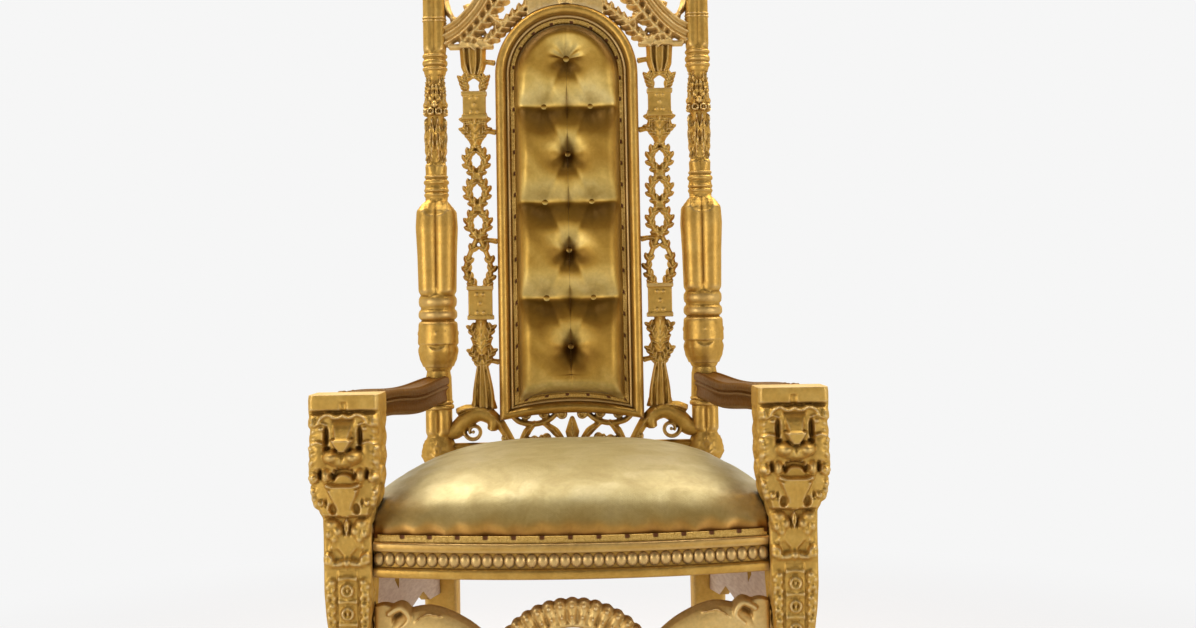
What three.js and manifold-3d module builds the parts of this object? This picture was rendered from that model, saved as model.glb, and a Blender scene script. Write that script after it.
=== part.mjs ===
// A tall carved and gilded throne: lions' heads on the arm fronts, two clustered back posts, an arched
// tufted panel between pierced candelabra frets, a pierced crest, and a domed seat over a beaded rail.
// X runs across the throne, Y from its front to its back and Z up, in millimetres.
import * as THREE from 'three';
import { mergeVertices } from 'three/addons/utils/BufferGeometryUtils.js';
import Module from 'manifold-3d';

const wasm = await Module();
wasm.setup();

// Plan
const legSpacing = 682; // front legs, centre to centre
const postSpacing = 522; // back posts, centre to centre
const seatDepth = 552; // front leg centre to back post centre
const gap = 0.3; // left between two pieces that meet

// Seat frame
const railBottom = 417;
const railHeight = 54;
const railThick = 30;
const railSetBack = 23; // front rail's face behind the front legs' centre line, measured forwards
const railBow = 43; // how far the front rail swells at its middle
const beadCount = 36;
const beadHeight = 18;
const beadDepth = 5;
const seatBoardThick = 12;
const cushionRise = 122;
const gimpHeight = 11;
const gimpThick = 2.6;

// Front legs and lions' heads
const legHalf = 37;
const legBack = 38;
const legFront = 38;
const headHalf = 55;
const headOffset = 2; // heads stand this far outside the legs' centres
const headHeight = 186;
const pawHalf = 47;
const pawHeight = 72;
const pawReach = 70;

// Arms
const armTop = 699;
const armDepthFront = 42;
const armDepthRear = 52;
const armHalfFront = 40;
const armHalfRear = 23;

// Back posts, from the floor up
const rearLegHalf = 34;
const rearFootHalf = 29;
const rearLegTop = 520;
const baseHeight = 66;
const columnHalf = 25;
const acornHalf = 38.5;
const acornHeight = 112;
const collarHeight = 51;
const bulbHalf = 38;
const bulbHeight = 185;
const neckHeight = 40;
const shaftHalf = 22;
const spindleHeight = 212;
const bandHeight = 39;
const upperShaftHeight = 167;
const finialHeight = 135;
const backLean = THREE.MathUtils.degToRad(3);
const rearLegSplay = THREE.MathUtils.degToRad(5);

// Arched panel
const panelBottom = 636;
const archDrop = 56; // between the crest's foot and the arch's springing
const openingHalf = 113;
const panelCamber = 14;
const frameWidth = 28;
const frameFront = 24;
const frameBack = 18;
const padInset = 2; // between the pad's edge and the frame, under the braid
const padRim = 11; // flat edge of the pad, under the braid
const padEdge = 8;
const padCrown = 30;
const padBack = 7.5;
const backBoardThick = 8;
const buttonRows = 7;
const buttonPitch = 94.5;
const buttonFirst = 116; // lowest button above the panel's bottom
const buttonSpread = 46;
const buttonRadius = 8.5;

// Pierced work
const lowerRailBottom = 552;
const fretFoot = 632;
const fretWidth = 74;
const fretThick = 14;
const blockThick = 20;
const crestLift = 7; // crest's foot above the band on the posts
const crestHeight = 455;
const crestThick = 22;
const crestBandThick = 34;
const apronTop = 376;
const apronBottom = 178;
const apronThick = 26;
const sideApronDepth = 142;
const sideApronThick = 18;

const legX = legSpacing / 2;
const legY = -seatDepth / 2;
const postX = postSpacing / 2;
const postY = seatDepth / 2;
const railTop = railBottom + railHeight;
const armUnder = armTop - armDepthRear;
const acornTop = armTop + acornHeight;
const collarTop = acornTop + collarHeight;
const bulbTop = collarTop + bulbHeight;
const neckTop = bulbTop + neckHeight;
const spindleTop = neckTop + spindleHeight;
const bandTop = spindleTop + bandHeight;
const shoulder = bandTop + upperShaftHeight;
const postTop = shoulder + finialHeight;
const crestFoot = bandTop + crestLift;
const crestTop = crestFoot + crestHeight;
const archSpring = crestFoot - archDrop;
const headFoot = armTop - headHeight;

const gilt = new THREE.MeshStandardMaterial({ color: 0xc9973f, roughness: 0.38, metalness: 0.85 });
const giltShade = new THREE.MeshStandardMaterial({ color: 0xb98637, roughness: 0.45, metalness: 0.8 });
const satin = new THREE.MeshStandardMaterial({ color: 0xb59a55, roughness: 0.42, metalness: 0.35 });
const braid = new THREE.MeshStandardMaterial({ color: 0xc7a252, roughness: 0.6, metalness: 0.4 });
const rawWood = new THREE.MeshStandardMaterial({ color: 0x9a7355, roughness: 0.8, metalness: 0 });

const { lerp, clamp } = THREE.MathUtils;

// How far the back leans at a height: upright at the seat, back above it and splayed back below it.
function leanAt(z) {
  const above = Math.max(0, z - rearLegTop) * Math.tan(backLean);
  const below = Math.max(0, railBottom - z) * Math.tan(rearLegSplay);
  return above + below;
}

// A closed body from points and triangles, turned right side out if it came inside out.
function bodyGeometry(points, triangles) {
  const corner = (i) => new THREE.Vector3(...points[i]);
  const volume = triangles.reduce(
    (sum, [a, b, c]) => sum + corner(a).dot(corner(b).cross(corner(c))), 0);
  const facing = volume < 0 ? triangles.map(([a, b, c]) => [a, c, b]) : triangles;
  const geometry = new THREE.BufferGeometry();
  geometry.setAttribute('position', new THREE.Float32BufferAttribute(points.flat(), 3));
  geometry.setIndex(facing.flat());
  return geometry;
}

// Skins a row of rings with equal counts of points, and either caps the two ends or closes the row.
function loft(rings, closed = false) {
  const count = rings[0].length;
  const points = rings.flat();
  const triangles = [];
  const spans = closed ? rings.length : rings.length - 1;
  for (let i = 0; i < spans; i++) {
    const here = i * count;
    const next = ((i + 1) % rings.length) * count;
    for (let j = 0; j < count; j++) {
      const k = (j + 1) % count;
      triangles.push([here + j, here + k, next + k], [here + j, next + k, next + j]);
    }
  }
  if (!closed) triangles.push(...cap(points, 0, count, true), ...cap(points, count * spans, count));
  return bodyGeometry(points, triangles);
}

// Closes one end. Seen along the axis that it faces most, its outline is cut into triangles.
function cap(points, start, count, reversed = false) {
  const ring = points.slice(start, start + count);
  const areaAlong = (a, b) => Math.abs(ring.reduce((sum, p, i) => {
    const q = ring[(i + 1) % count];
    return sum + p[a] * q[b] - q[a] * p[b];
  }, 0));
  const planes = [[0, 1], [1, 2], [2, 0]].sort((p, q) => areaAlong(...q) - areaAlong(...p));
  const flat = ring.map((p) => new THREE.Vector2(p[planes[0][0]], p[planes[0][1]]));
  const clockwise = THREE.ShapeUtils.isClockWise(flat);
  return THREE.ShapeUtils.triangulateShape(flat, []).map(([a, b, c]) => {
    const turned = THREE.ShapeUtils.isClockWise([flat[a], flat[b], flat[c]]) !== clockwise;
    const corners = turned === reversed ? [a, b, c] : [a, c, b];
    return corners.map((corner) => start + corner);
  });
}

function toSolid(geometry) {
  const bare = geometry.clone();
  for (const name of ['normal', 'uv']) bare.deleteAttribute(name);
  const merged = mergeVertices(bare, 1e-4);
  return new wasm.Manifold(new wasm.Mesh({
    numProp: 3,
    vertProperties: new Float32Array(merged.attributes.position.array),
    triVerts: new Uint32Array(merged.index.array),
  }));
}

function toGeometry(solid) {
  const mesh = solid.getMesh();
  const geometry = new THREE.BufferGeometry();
  geometry.setAttribute('position', new THREE.BufferAttribute(new Float32Array(mesh.vertProperties), 3));
  geometry.setIndex([...mesh.triVerts]);
  return geometry;
}

const joined = (geometries) => toGeometry(geometries.map(toSolid).reduce((all, one) => all.add(one)));

// The piece less its neighbours, which are passed in already grown by the gap.
const fitted = (piece, ...neighbours) =>
  toGeometry(neighbours.map(toSolid).reduce((left, cutter) => left.subtract(cutter), toSolid(piece)));

function moved(geometry, change) {
  const place = geometry.attributes.position;
  for (let i = 0; i < place.count; i++) {
    place.setXYZ(i, ...change(place.getX(i), place.getY(i), place.getZ(i)));
  }
  return geometry;
}

// Carries a piece drawn about the plane y = 0 to the back of the throne, where it leans.
const onBack = (geometry) => moved(geometry, (x, y, z) => [x, y + postY + leanAt(z), z]);

function prism(outline, yFront, yBack) {
  const shape = new THREE.Shape(outline.map(([x, z]) => new THREE.Vector2(x, z)));
  const geometry = new THREE.ExtrudeGeometry(shape, { depth: yBack - yFront, bevelEnabled: false });
  return geometry.applyMatrix4(new THREE.Matrix4().set(
    1, 0, 0, 0, 0, 0, -1, yBack, 0, 1, 0, 0, 0, 0, 0, 1));
}

function block(xLow, xHigh, yLow, yHigh, zLow, zHigh) {
  const geometry = new THREE.BoxGeometry(xHigh - xLow, yHigh - yLow, zHigh - zLow);
  return geometry.translate((xLow + xHigh) / 2, (yLow + yHigh) / 2, (zLow + zHigh) / 2);
}

// Sections of carved work as [share of the half width, y]: a flat bar, a bevelled scroll and a leaf.
const bar = (front, back) => [[-1, back], [1, back], [1, front], [-1, front]];
const scroll = (front, back) => [[-1, back], [1, back], [0.45, front], [-0.45, front]];
const leaf = (front, back) => [[-1, back], [1, back], [0, front]];

// Carved work of varying width along a smooth line in the x-z plane. Widths are given along the line.
function strand(line, widths, steps, section) {
  const curve = new THREE.SplineCurve(line.map(([x, z]) => new THREE.Vector2(x, z)));
  const rings = [];
  for (let i = 0; i <= steps; i++) {
    const t = i / steps;
    const at = curve.getPoint(t);
    const way = curve.getTangent(clamp(t, 0.001, 0.999));
    const along = t * (widths.length - 1);
    const low = Math.min(Math.floor(along), widths.length - 2);
    const half = lerp(widths[low], widths[low + 1], along - low) / 2;
    rings.push(section.map(([share, y]) => [at.x - way.y * half * share, y, at.y + way.x * half * share]));
  }
  return loft(rings);
}

const bothSides = (make, grow) => [-1, 1].map((side) => make(side, grow));

// Front legs: rings from the lion's forehead down to the paw. Heights are taken from the head's top.
// Each mark is [distance from the face's middle, height, half width, half height, rise].
const lionMarks = [
  [21, -33, 25, 10, 13], [0, -40, 19, 13, 12], [34, -74, 20, 26, 12], [0, -84, 20, 14, 36],
  [15, -98, 21, 18, 34], [27, -124, 11, 22, 22], [0, -143, 25, 11, 27], [44, -118, 13, 15, 17],
  [42, -151, 13, 12, 14], [46, -84, 12, 12, 10], [46, -52, 12, 14, 10], [20, -206, 16, 22, 9],
];
const lionHollows = [[24, -55, 9, 12, 10], [0, -122, 18, 12, 30], [21, -179, 9, 10, 10]];
const slabHeight = 17;
const slabRise = 8;
const bossPitch = 38;
const bossCount = 4;
const bossRadius = 11;
const strapHalf = 15;
const firstBoss = railBottom - 19 - armTop;

function mound(x, t, [cx, cz, rx, rz, rise]) {
  const away = ((x - cx) / rx) ** 2 + ((t - cz) / rz) ** 2;
  return away < 1 ? rise * (1 - away) ** 0.7 : 0;
}

function lionRelief(x, t) {
  const across = Math.abs(x);
  if (t > -slabHeight) return slabRise;
  let rise = Math.max(0, ...lionMarks.map((mark) => mound(across, t, mark)));
  const bridge = clamp((-38 - t) / 36, 0, 1);
  if (t <= -38 && t > -80 && across < lerp(17, 12, bridge)) rise = Math.max(rise, lerp(14, 28, bridge));
  const beard = clamp((-146 - t) / 40, 0, 1);
  if (t <= -146 && t > -188 && across < lerp(26, 7, beard)) rise = Math.max(rise, lerp(24, 12, beard));
  rise -= Math.max(0, ...lionHollows.map((hollow) => mound(across, t, hollow)));
  const straps = firstBoss - bossPitch * (bossCount - 0.4);
  if (t < -258 && t > straps && across <= strapHalf) rise = Math.max(rise, 3);
  for (let i = 0; i < bossCount; i++) {
    rise = Math.max(rise, mound(across, t, [0, firstBoss - i * bossPitch, bossRadius, bossRadius, 8]));
  }
  return rise;
}

// Stations of the front leg: height, half width, and how far its front and back stand from its centre.
const frontLegStations = [
  [armTop, headHalf - 4, legFront + 2, legBack], [armTop - 4, headHalf, legFront + 6, legBack],
  [armTop - slabHeight, headHalf, legFront + 6, legBack],
  ...[-23, -34, -46, -58, -71, -85, -98, -109, -122, -135, -144]
    .map((t) => [armTop + t, headHalf - (t < -100 ? 2 : 0), legFront, legBack]),
  [armTop - 165, headHalf - 6, legFront, legBack], [armTop - 178, headHalf - 11, legFront - 1, legBack],
  [headFoot - 2, legHalf + 1, legFront - 2, legBack], [headFoot - 26, legHalf, legFront, legBack],
  [railBottom - 19, legHalf, legFront + 3, legBack],
  [apronTop - 16, legHalf - 2, legFront + 1, legBack - 2],
  [apronTop - 54, legHalf - 6, legFront - 3, legBack - 5],
  [apronBottom + 72, legHalf - 10, legFront - 10, legBack - 8],
  [apronBottom + 10, legHalf - 12, legFront - 14, legBack - 9],
  [pawHeight + 48, legHalf - 11, legFront - 10, legBack - 8],
  [pawHeight + 14, legHalf - 4, legFront + 4, legBack - 4],
  [pawHeight - 6, pawHalf - 6, pawReach - 14, legBack],
  [pawHeight - 32, pawHalf, pawReach - 2, legBack], [14, pawHalf, pawReach, legBack],
  [0, pawHalf - 3, pawReach - 5, legBack - 3],
];
const faceShares = [-1, -0.72, -0.44, -0.24, 0, 0.24, 0.44, 0.72, 1];
const sideShares = [0.5];
const toeDepth = 6;

function frontLeg(side, grow = 0) {
  const rings = frontLegStations.map(([z, half, front, back]) => {
    const t = z - armTop;
    const middle = t > -170 ? headOffset : lerp(headOffset, 0, clamp((-170 - t) / 20, 0, 1));
    const ring = [];
    for (const share of faceShares) {
      const x = share * half;
      const corner = Math.abs(share) === 1 ? 5 : 0;
      const toes = z < pawHeight ? toeDepth * Math.abs(Math.sin(share * Math.PI * 2)) : 0;
      const rise = Math.abs(share) === 1 ? 0 : lionRelief(x, t);
      ring.push([x + Math.sign(share) * grow, -front - rise - toes + corner - grow]);
    }
    const sideSpots = sideShares.map((share) => lerp(-front + 5, back, share));
    for (const y of sideSpots) ring.push([half + grow, y]);
    ring.push([half + grow, back + grow], [-half - grow, back + grow]);
    for (const y of sideSpots.toReversed()) ring.push([-half - grow, y]);
    const lift = z === 0 ? -grow : 0;
    return ring.map(([x, y]) => [side * (legX + middle) + x, legY + y, z + lift]);
  });
  return loft(rings);
}

// Back posts: rings whose outline is square, round or a cluster of four reeds.
const postSection = {
  square: (angle, half) => {
    const [c, s] = [Math.cos(angle), Math.sin(angle)];
    return half / Math.max(Math.abs(c), Math.abs(s));
  },
  round: (angle, half) => half,
  reeded: (angle, half) => {
    const offset = 0.42 * half;
    const reed = half - offset;
    const c = Math.abs(Math.cos(angle));
    const s = Math.abs(Math.sin(angle));
    return offset * (c + s) + Math.sqrt(reed ** 2 - (offset * (c - s)) ** 2);
  },
};
const postCorners = { square: [0, 42, 48], round: [0, 30, 60], reeded: [0, 22, 68] };

const postStations = [
  [0, rearFootHalf, 'square'], [railBottom, rearLegHalf, 'square'], [rearLegTop, rearLegHalf, 'square'],
  [rearLegTop + 5, columnHalf, 'round'], [rearLegTop + baseHeight * 0.35, columnHalf + 9, 'round'],
  [rearLegTop + baseHeight, columnHalf, 'reeded'],
  [armUnder - 18, columnHalf, 'reeded'], [armUnder - 12, columnHalf + 3, 'round'],
  [armTop, columnHalf + 1, 'round'],
  [armTop + acornHeight * 0.2, acornHalf - 4, 'round'], [armTop + acornHeight * 0.42, acornHalf, 'round'],
  [acornTop - 2, acornHalf, 'round'], [acornTop + 3, acornHalf - 6, 'round'],
  [acornTop + collarHeight * 0.25, acornHalf - 1, 'round'],
  [acornTop + collarHeight * 0.5, acornHalf - 6, 'round'],
  [collarTop - 12, acornHalf - 1, 'round'],
  [collarTop + 4, bulbHalf - 1, 'reeded'], [bulbTop - 26, bulbHalf, 'reeded'],
  [bulbTop, shaftHalf - 1, 'round'], [bulbTop + neckHeight * 0.7, shaftHalf + 2, 'round'],
  [neckTop, shaftHalf - 1, 'round'], [neckTop + spindleHeight * 0.25, shaftHalf + 3, 'reeded'],
  [neckTop + spindleHeight * 0.7, shaftHalf + 2, 'reeded'],
  [spindleTop + bandHeight * 0.5, shaftHalf + 3, 'round'],
  [bandTop, shaftHalf, 'reeded'], [shoulder - 8, shaftHalf, 'reeded'], [shoulder, shaftHalf + 7, 'round'],
  [shoulder + 16, shaftHalf - 6, 'round'], [shoulder + finialHeight * 0.45, shaftHalf + 6, 'round'],
  [postTop - 16, 5, 'round'], [postTop, 1.5, 'round'],
];

function backPost(side, grow = 0) {
  const rings = postStations.map(([z, half, form]) => {
    const ring = [];
    for (let quarter = 0; quarter < 4; quarter++) {
      for (const corner of postCorners[form]) {
        const angle = THREE.MathUtils.degToRad(corner + quarter * 90);
        const radius = postSection[form](angle, half + grow);
        ring.push([side * postX + radius * Math.cos(angle), radius * Math.sin(angle), z]);
      }
    }
    return ring;
  });
  return onBack(loft(rings));
}

// Seat rails. The section is [out from the face, height]: a torus below, a sunk bead course, a fillet.
function railSection(grow) {
  const sunk = railBottom + (railHeight - beadHeight) / 2 - 1;
  return [
    [-railThick - grow, railBottom - grow], [3 + grow, railBottom - grow], [6 + grow, railBottom + 7],
    [2 + grow, sunk - 1], [-3 + grow, sunk], [-3 + grow, sunk + beadHeight + 2],
    [3 + grow, sunk + beadHeight + 4], [3 + grow, railTop - 3], [grow, railTop + grow],
    [-railThick - grow, railTop + grow],
  ];
}

const railEnd = legX - legHalf - gap;
const railSteps = 8;
const railFaceY = (x) => legY - railSetBack - railBow * (1 - (x / railEnd) ** 2);

function frontRail(grow = 0) {
  const steps = railSteps;
  const rings = [];
  for (let i = 0; i <= steps; i++) {
    const x = lerp(-railEnd - grow, railEnd + grow, i / steps);
    rings.push(railSection(grow).map(([out, z]) => [x, railFaceY(x) - out, z]));
  }
  return loft(rings);
}

function beads() {
  const pitch = (railEnd * 2) / beadCount;
  const half = pitch * 0.36;
  const middle = railBottom + railHeight / 2;
  return Array.from({ length: beadCount }, (_, i) => {
    const x = -railEnd + pitch * (i + 0.5);
    const foot = railFaceY(x) + 5;
    const top = [x, railFaceY(x) + 3 - beadDepth, middle];
    const corners = [[-1, -1], [1, -1], [1, 1], [-1, 1]]
      .map(([a, b]) => [x + a * half, foot, middle + (b * beadHeight) / 2]);
    return bodyGeometry([...corners, top],
      [[0, 1, 4], [1, 2, 4], [2, 3, 4], [3, 0, 4], [0, 2, 1], [0, 3, 2]]);
  });
}

const sideStart = legY + legBack + gap;
const sideEnd = postY - rearLegHalf - gap;
const sideX = (y) => lerp(legX, postX, (y - legY) / seatDepth);
const sideOut = 22; // side rails' face outside the line between leg and post

function sideRail(side, grow = 0) {
  const rings = [sideStart - grow, sideEnd + grow].map((y) =>
    railSection(grow).map(([out, z]) => [side * (sideX(y) + sideOut + out), y, z]));
  return loft(rings);
}

function rearRail(grow = 0) {
  const end = postX - rearLegHalf - gap + grow;
  return block(-end, end, postY - railThick / 2 - grow, postY + railThick / 2 + grow,
    railBottom - grow, railTop + grow);
}

// The plan of what lies inside the rails, as a ring from the front's left end round to its right.
function seatPlan(frontInset, sideInset, backInset, frontSteps) {
  const plan = [];
  for (let i = 0; i <= frontSteps; i++) {
    const x = lerp(-railEnd, railEnd, i / frontSteps);
    plan.push([x, railFaceY(x) + frontInset]);
  }
  const edge = (y) => sideX(y) + sideOut - sideInset;
  const back = postY + railThick / 2 - backInset;
  plan.push([edge(sideStart), sideStart], [edge(sideEnd), sideEnd], [edge(sideEnd), back]);
  plan.push([-edge(sideEnd), back], [-edge(sideEnd), sideEnd], [-edge(sideStart), sideStart]);
  return plan;
}

function flatSlab(plan, zLow, zHigh) {
  const shape = new THREE.Shape(plan.map(([x, y]) => new THREE.Vector2(x, y)));
  return new THREE.ExtrudeGeometry(shape, { depth: zHigh - zLow, bevelEnabled: false }).translate(0, 0, zLow);
}

function seatBoard() {
  const half = railThick / 2;
  const board = flatSlab(seatPlan(half, half, half, 8), railTop - seatBoardThick, railTop);
  return fitted(board, frontRail(gap), rearRail(gap), ...bothSides(sideRail, gap),
    ...bothSides(frontLeg, gap), ...bothSides(backPost, gap));
}

// The seat cushion: a dome over the rails with steep sides, cut away round the legs, heads and posts.
const cushionInset = gimpThick + 1.4;
const cushionBack = postY + 4;
const domeEdge = (share) => Math.sqrt(1 - Math.abs(share) ** 2.6);

function seatCushion() {
  const across = 12;
  const deep = 6;
  const foot = railTop + gap;
  const wideAt = (v) => sideX(lerp(legY, cushionBack, (v + 1) / 2)) + sideOut - cushionInset;
  const spread = (t) => Math.sin((lerp(-1, 1, t) * Math.PI) / 2);
  const inner = across - 2;
  const betweenLegs = Array.from({ length: inner + 1 }, (_, i) => (spread(i / inner) * railEnd) / wideAt(-1));
  const shares = [-1, ...betweenLegs, 1];
  const points = [];
  const height = (u, v) => foot + gimpHeight + (cushionRise - gimpHeight) * domeEdge(u) * domeEdge(v);
  const spot = (i, j, z) => {
    const u = shares[i];
    const v = spread(j / deep);
    const x = u * wideAt(v);
    const front = railFaceY(Math.min(Math.abs(u) * wideAt(-1), railEnd)) + cushionInset;
    return [x, lerp(front, cushionBack, (v + 1) / 2), z ?? height(u, v)];
  };
  for (let j = 0; j <= deep; j++) for (let i = 0; i <= across; i++) points.push(spot(i, j));
  const rim = [];
  for (let i = 0; i < across; i++) rim.push([i, 0]);
  for (let j = 0; j < deep; j++) rim.push([across, j]);
  for (let i = across; i > 0; i--) rim.push([i, deep]);
  for (let j = deep; j > 0; j--) rim.push([0, j]);
  const lower = points.length;
  for (const [i, j] of rim) points.push(spot(i, j, foot));
  const centre = points.push([0, (legY + postY) / 2, foot]) - 1;
  const at = (i, j) => j * (across + 1) + i;
  const triangles = [];
  for (let j = 0; j < deep; j++) {
    for (let i = 0; i < across; i++) {
      triangles.push([at(i, j), at(i + 1, j), at(i + 1, j + 1)], [at(i, j), at(i + 1, j + 1), at(i, j + 1)]);
    }
  }
  rim.forEach(([i, j], k) => {
    const next = (k + 1) % rim.length;
    const upper = at(i, j);
    const upperNext = at(...rim[next]);
    triangles.push([upper, lower + k, lower + next], [upper, lower + next, upperNext]);
    triangles.push([centre, lower + next, lower + k]);
  });
  const dome = bodyGeometry(points, triangles);
  return fitted(dome, ...bothSides(frontLeg, gap * 2), ...bothSides(backPost, gap * 2));
}

function seatGimpFront() {
  const steps = railSteps;
  const low = railTop + gap;
  const high = low + gimpHeight;
  const reach = railEnd - 1;
  const rings = Array.from({ length: steps + 1 }, (_, i) => {
    const x = lerp(-reach, reach, i / steps);
    const y = railFaceY(x) + 0.4;
    return [[x, y, low], [x, y + gimpThick, low], [x, y + gimpThick, high], [x, y, high]];
  });
  return loft(rings);
}

function seatGimpSide(side) {
  const low = railTop + gap;
  const rings = [sideStart + 1, sideEnd - 1].map((y) => {
    const out = sideX(y) + sideOut - 0.4;
    return [[out, low], [out - gimpThick, low], [out - gimpThick, low + gimpHeight], [out, low + gimpHeight]]
      .map(([x, z]) => [side * x, y, z]);
  });
  return loft(rings);
}

// Arms: a flat top over a grooved edge, from the post forwards to the back of the lion's head.
function arm(side) {
  const rear = postY + leanAt(armTop) - 6;
  const front = legY + legBack + gap;
  const steps = 4;
  const rings = [];
  for (let i = 0; i <= steps; i++) {
    const t = i / steps;
    const ease = t * t * (3 - 2 * t);
    const y = lerp(rear, front, t);
    const x = lerp(postX, legX - 6, t);
    const half = lerp(armHalfRear, armHalfFront, ease);
    const deep = lerp(armDepthRear, armDepthFront, t);
    const top = armTop - 2 - 8 * Math.sin(Math.PI * Math.min(1, t * 1.15)) ** 2;
    const ring = [[-0.72, 0], [0.72, 0], [1, 0.14], [1, 0.36], [0.86, 0.44], [0.9, 0.86], [0.7, 1],
      [-0.7, 1], [-0.9, 0.86], [-0.86, 0.44], [-1, 0.36], [-1, 0.14]];
    rings.push(ring.map(([across, down]) => [side * x + across * half, y, top - down * deep]));
  }
  return fitted(loft(rings), backPost(side, gap));
}

// Arched opening: the line that the frame, pad, board and braid all follow, inset or grown.
function archLine(grow, archSteps = 10, camberSteps = 4) {
  const half = openingHalf + grow;
  const line = [];
  for (let i = 0; i <= archSteps; i++) {
    const angle = (Math.PI * i) / archSteps;
    line.push([half * Math.cos(angle), archSpring + half * Math.sin(angle)]);
  }
  for (let i = 0; i <= camberSteps; i++) {
    const x = lerp(-half, half, i / camberSteps);
    line.push([x, panelBottom - grow + panelCamber * (1 - (x / half) ** 2)]);
  }
  return line;
}

const frameSection = [[0, frameBack], [0, -padEdge - 4], [6, -frameFront + 4], [14, -frameFront + 7],
  [21, -frameFront], [frameWidth, -frameFront + 5], [frameWidth, frameBack]];

function panelFrame() {
  const lines = frameSection.map(([out]) => archLine(out));
  const rings = lines[0].map((_, i) => frameSection.map(([, y], k) => [lines[k][i][0], y, lines[k][i][1]]));
  return onBack(loft(rings, true));
}

const frameSolid = () => onBack(prism(archLine(frameWidth + gap), -60, 60));

function backBoard() {
  return onBack(prism(archLine(-gap * 2), padBack + gap, padBack + gap + backBoardThick));
}

function backGimp() {
  const inner = gap * 2 - padRim;
  const edges = [[inner, -padEdge - gap], [-gap * 2, -padEdge - gap], [-gap * 2, -padEdge - gap - gimpThick],
    [inner, -padEdge - gap - gimpThick]];
  const lines = edges.map(([grow]) => archLine(grow));
  const rings = lines[0].map((_, i) => edges.map(([, y], k) => [lines[k][i][0], y, lines[k][i][1]]));
  return onBack(loft(rings, true));
}

// Buttons of the tufted pad, bottom to top: one, two, one and so on.
const buttons = [];
for (let row = 0; row < buttonRows; row++) {
  const z = panelBottom + buttonFirst + row * buttonPitch;
  for (const x of row % 2 ? [-buttonSpread, buttonSpread] : [0]) buttons.push([x, z]);
}

// How full the pad is at a point: nothing at the flat rim, least over a button.
function padFill(x, z, rim) {
  const edge = clamp((rim - padRim) / 24, 0, 1);
  let fill = Math.sqrt(1 - (1 - edge) ** 2);
  for (const [bx, bz] of buttons) fill *= 1 - 0.85 * Math.exp(-(((x - bx) / 19) ** 2 + ((z - bz) / 19) ** 2));
  return fill;
}

function backPad() {
  const half = openingHalf - padInset;
  const inner = half - padRim;
  const foot = panelBottom + padInset;
  const buttonColumn = buttonSpread / inner;
  const columns = [-1, -0.88, -buttonColumn, 0, buttonColumn, 0.88, 1];
  const firstButton = panelBottom + buttonFirst;
  const heights = [foot + padRim, foot + padRim + 26];
  for (let z = firstButton - buttonPitch / 2; z < archSpring - 10; z += buttonPitch / 2) heights.push(z);
  const rows = heights.map((z) => columns.map((c) => [c * inner, z]));
  for (const turn of [1, 3, 4]) {
    const angle = (turn * Math.PI) / 10;
    rows.push(columns.map((c) => [c * inner * Math.cos(angle), archSpring + inner * Math.sin(angle)]));
  }
  rows[0] = rows[0].map(([x, z]) => [x, z + panelCamber * (1 - (x / half) ** 2)]);
  const points = rows.flat().map(([x, z], index) => {
    const up = Math.max(0, z - archSpring);
    const rim = up ? half - Math.hypot(x, up) : Math.min(half - Math.abs(x), z - foot);
    const row = Math.floor(index / columns.length);
    const fill = row === 0 || row === rows.length - 1 ? 0 : padFill(x, z, rim);
    return [x, -padEdge - padCrown * fill, z];
  });
  const wide = columns.length;
  const triangles = [];
  for (let j = 0; j < rows.length - 1; j++) {
    for (let i = 0; i < wide - 1; i++) {
      const a = j * wide + i;
      triangles.push([a, a + 1, a + wide + 1], [a, a + wide + 1, a + wide]);
    }
  }
  const rim = [];
  for (let i = 0; i < wide - 1; i++) rim.push(i);
  for (let j = 0; j < rows.length - 1; j++) rim.push(j * wide + wide - 1);
  for (let i = wide - 1; i > 0; i--) rim.push((rows.length - 1) * wide + i);
  for (let j = rows.length - 1; j > 0; j--) rim.push(j * wide);
  const outer = rim.map((index) => {
    const [x, , z] = points[index];
    if (z > archSpring) {
      const angle = Math.atan2(z - archSpring, x);
      return [half * Math.cos(angle), archSpring + half * Math.sin(angle)];
    }
    const lowest = index < wide;
    const wall = lowest && Math.abs(x) < inner - 1 ? x : Math.sign(x) * half;
    return [wall, lowest ? foot + panelCamber * (1 - (wall / half) ** 2) : z];
  });
  const front = points.length;
  for (const [x, z] of outer) points.push([x, -padEdge, z]);
  const behind = points.length;
  for (const [x, z] of outer) points.push([x, padBack, z]);
  const centre = points.push([0, padBack, (panelBottom + archSpring) / 2]) - 1;
  rim.forEach((index, k) => {
    const next = (k + 1) % rim.length;
    triangles.push([index, front + k, front + next], [index, front + next, rim[next]]);
    triangles.push([front + k, behind + k, behind + next], [front + k, behind + next, front + next]);
    triangles.push([centre, behind + next, behind + k]);
  });
  return onBack(bodyGeometry(points, triangles));
}

function buttonGeometry() {
  const dome = [[0, 0], [buttonRadius, 0], [buttonRadius * 0.86, 2.4], [0, 4.4]];
  const turned = new THREE.LatheGeometry(dome.map(([r, h]) => new THREE.Vector2(r, h)), 5);
  return turned.rotateX(Math.PI);
}

// Buttons sit in the pad's dips, just clear of the cloth that rises round them.
function buttonPlace([x, z]) {
  const fill = padFill(x, z, openingHalf);
  const deep = padEdge + padCrown * lerp(fill, 1, buttonRadius / (buttonSpread - 12));
  return [x, postY + leanAt(z) - deep - gap * 2, z];
}

// Side frets, drawn in hundredths of their width and height; u = 0 is against the arched frame.
const fretHeight = crestFoot - fretFoot - gap * 2;
const fretAxis = (v) => 43 + 0.17 * v;

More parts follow.
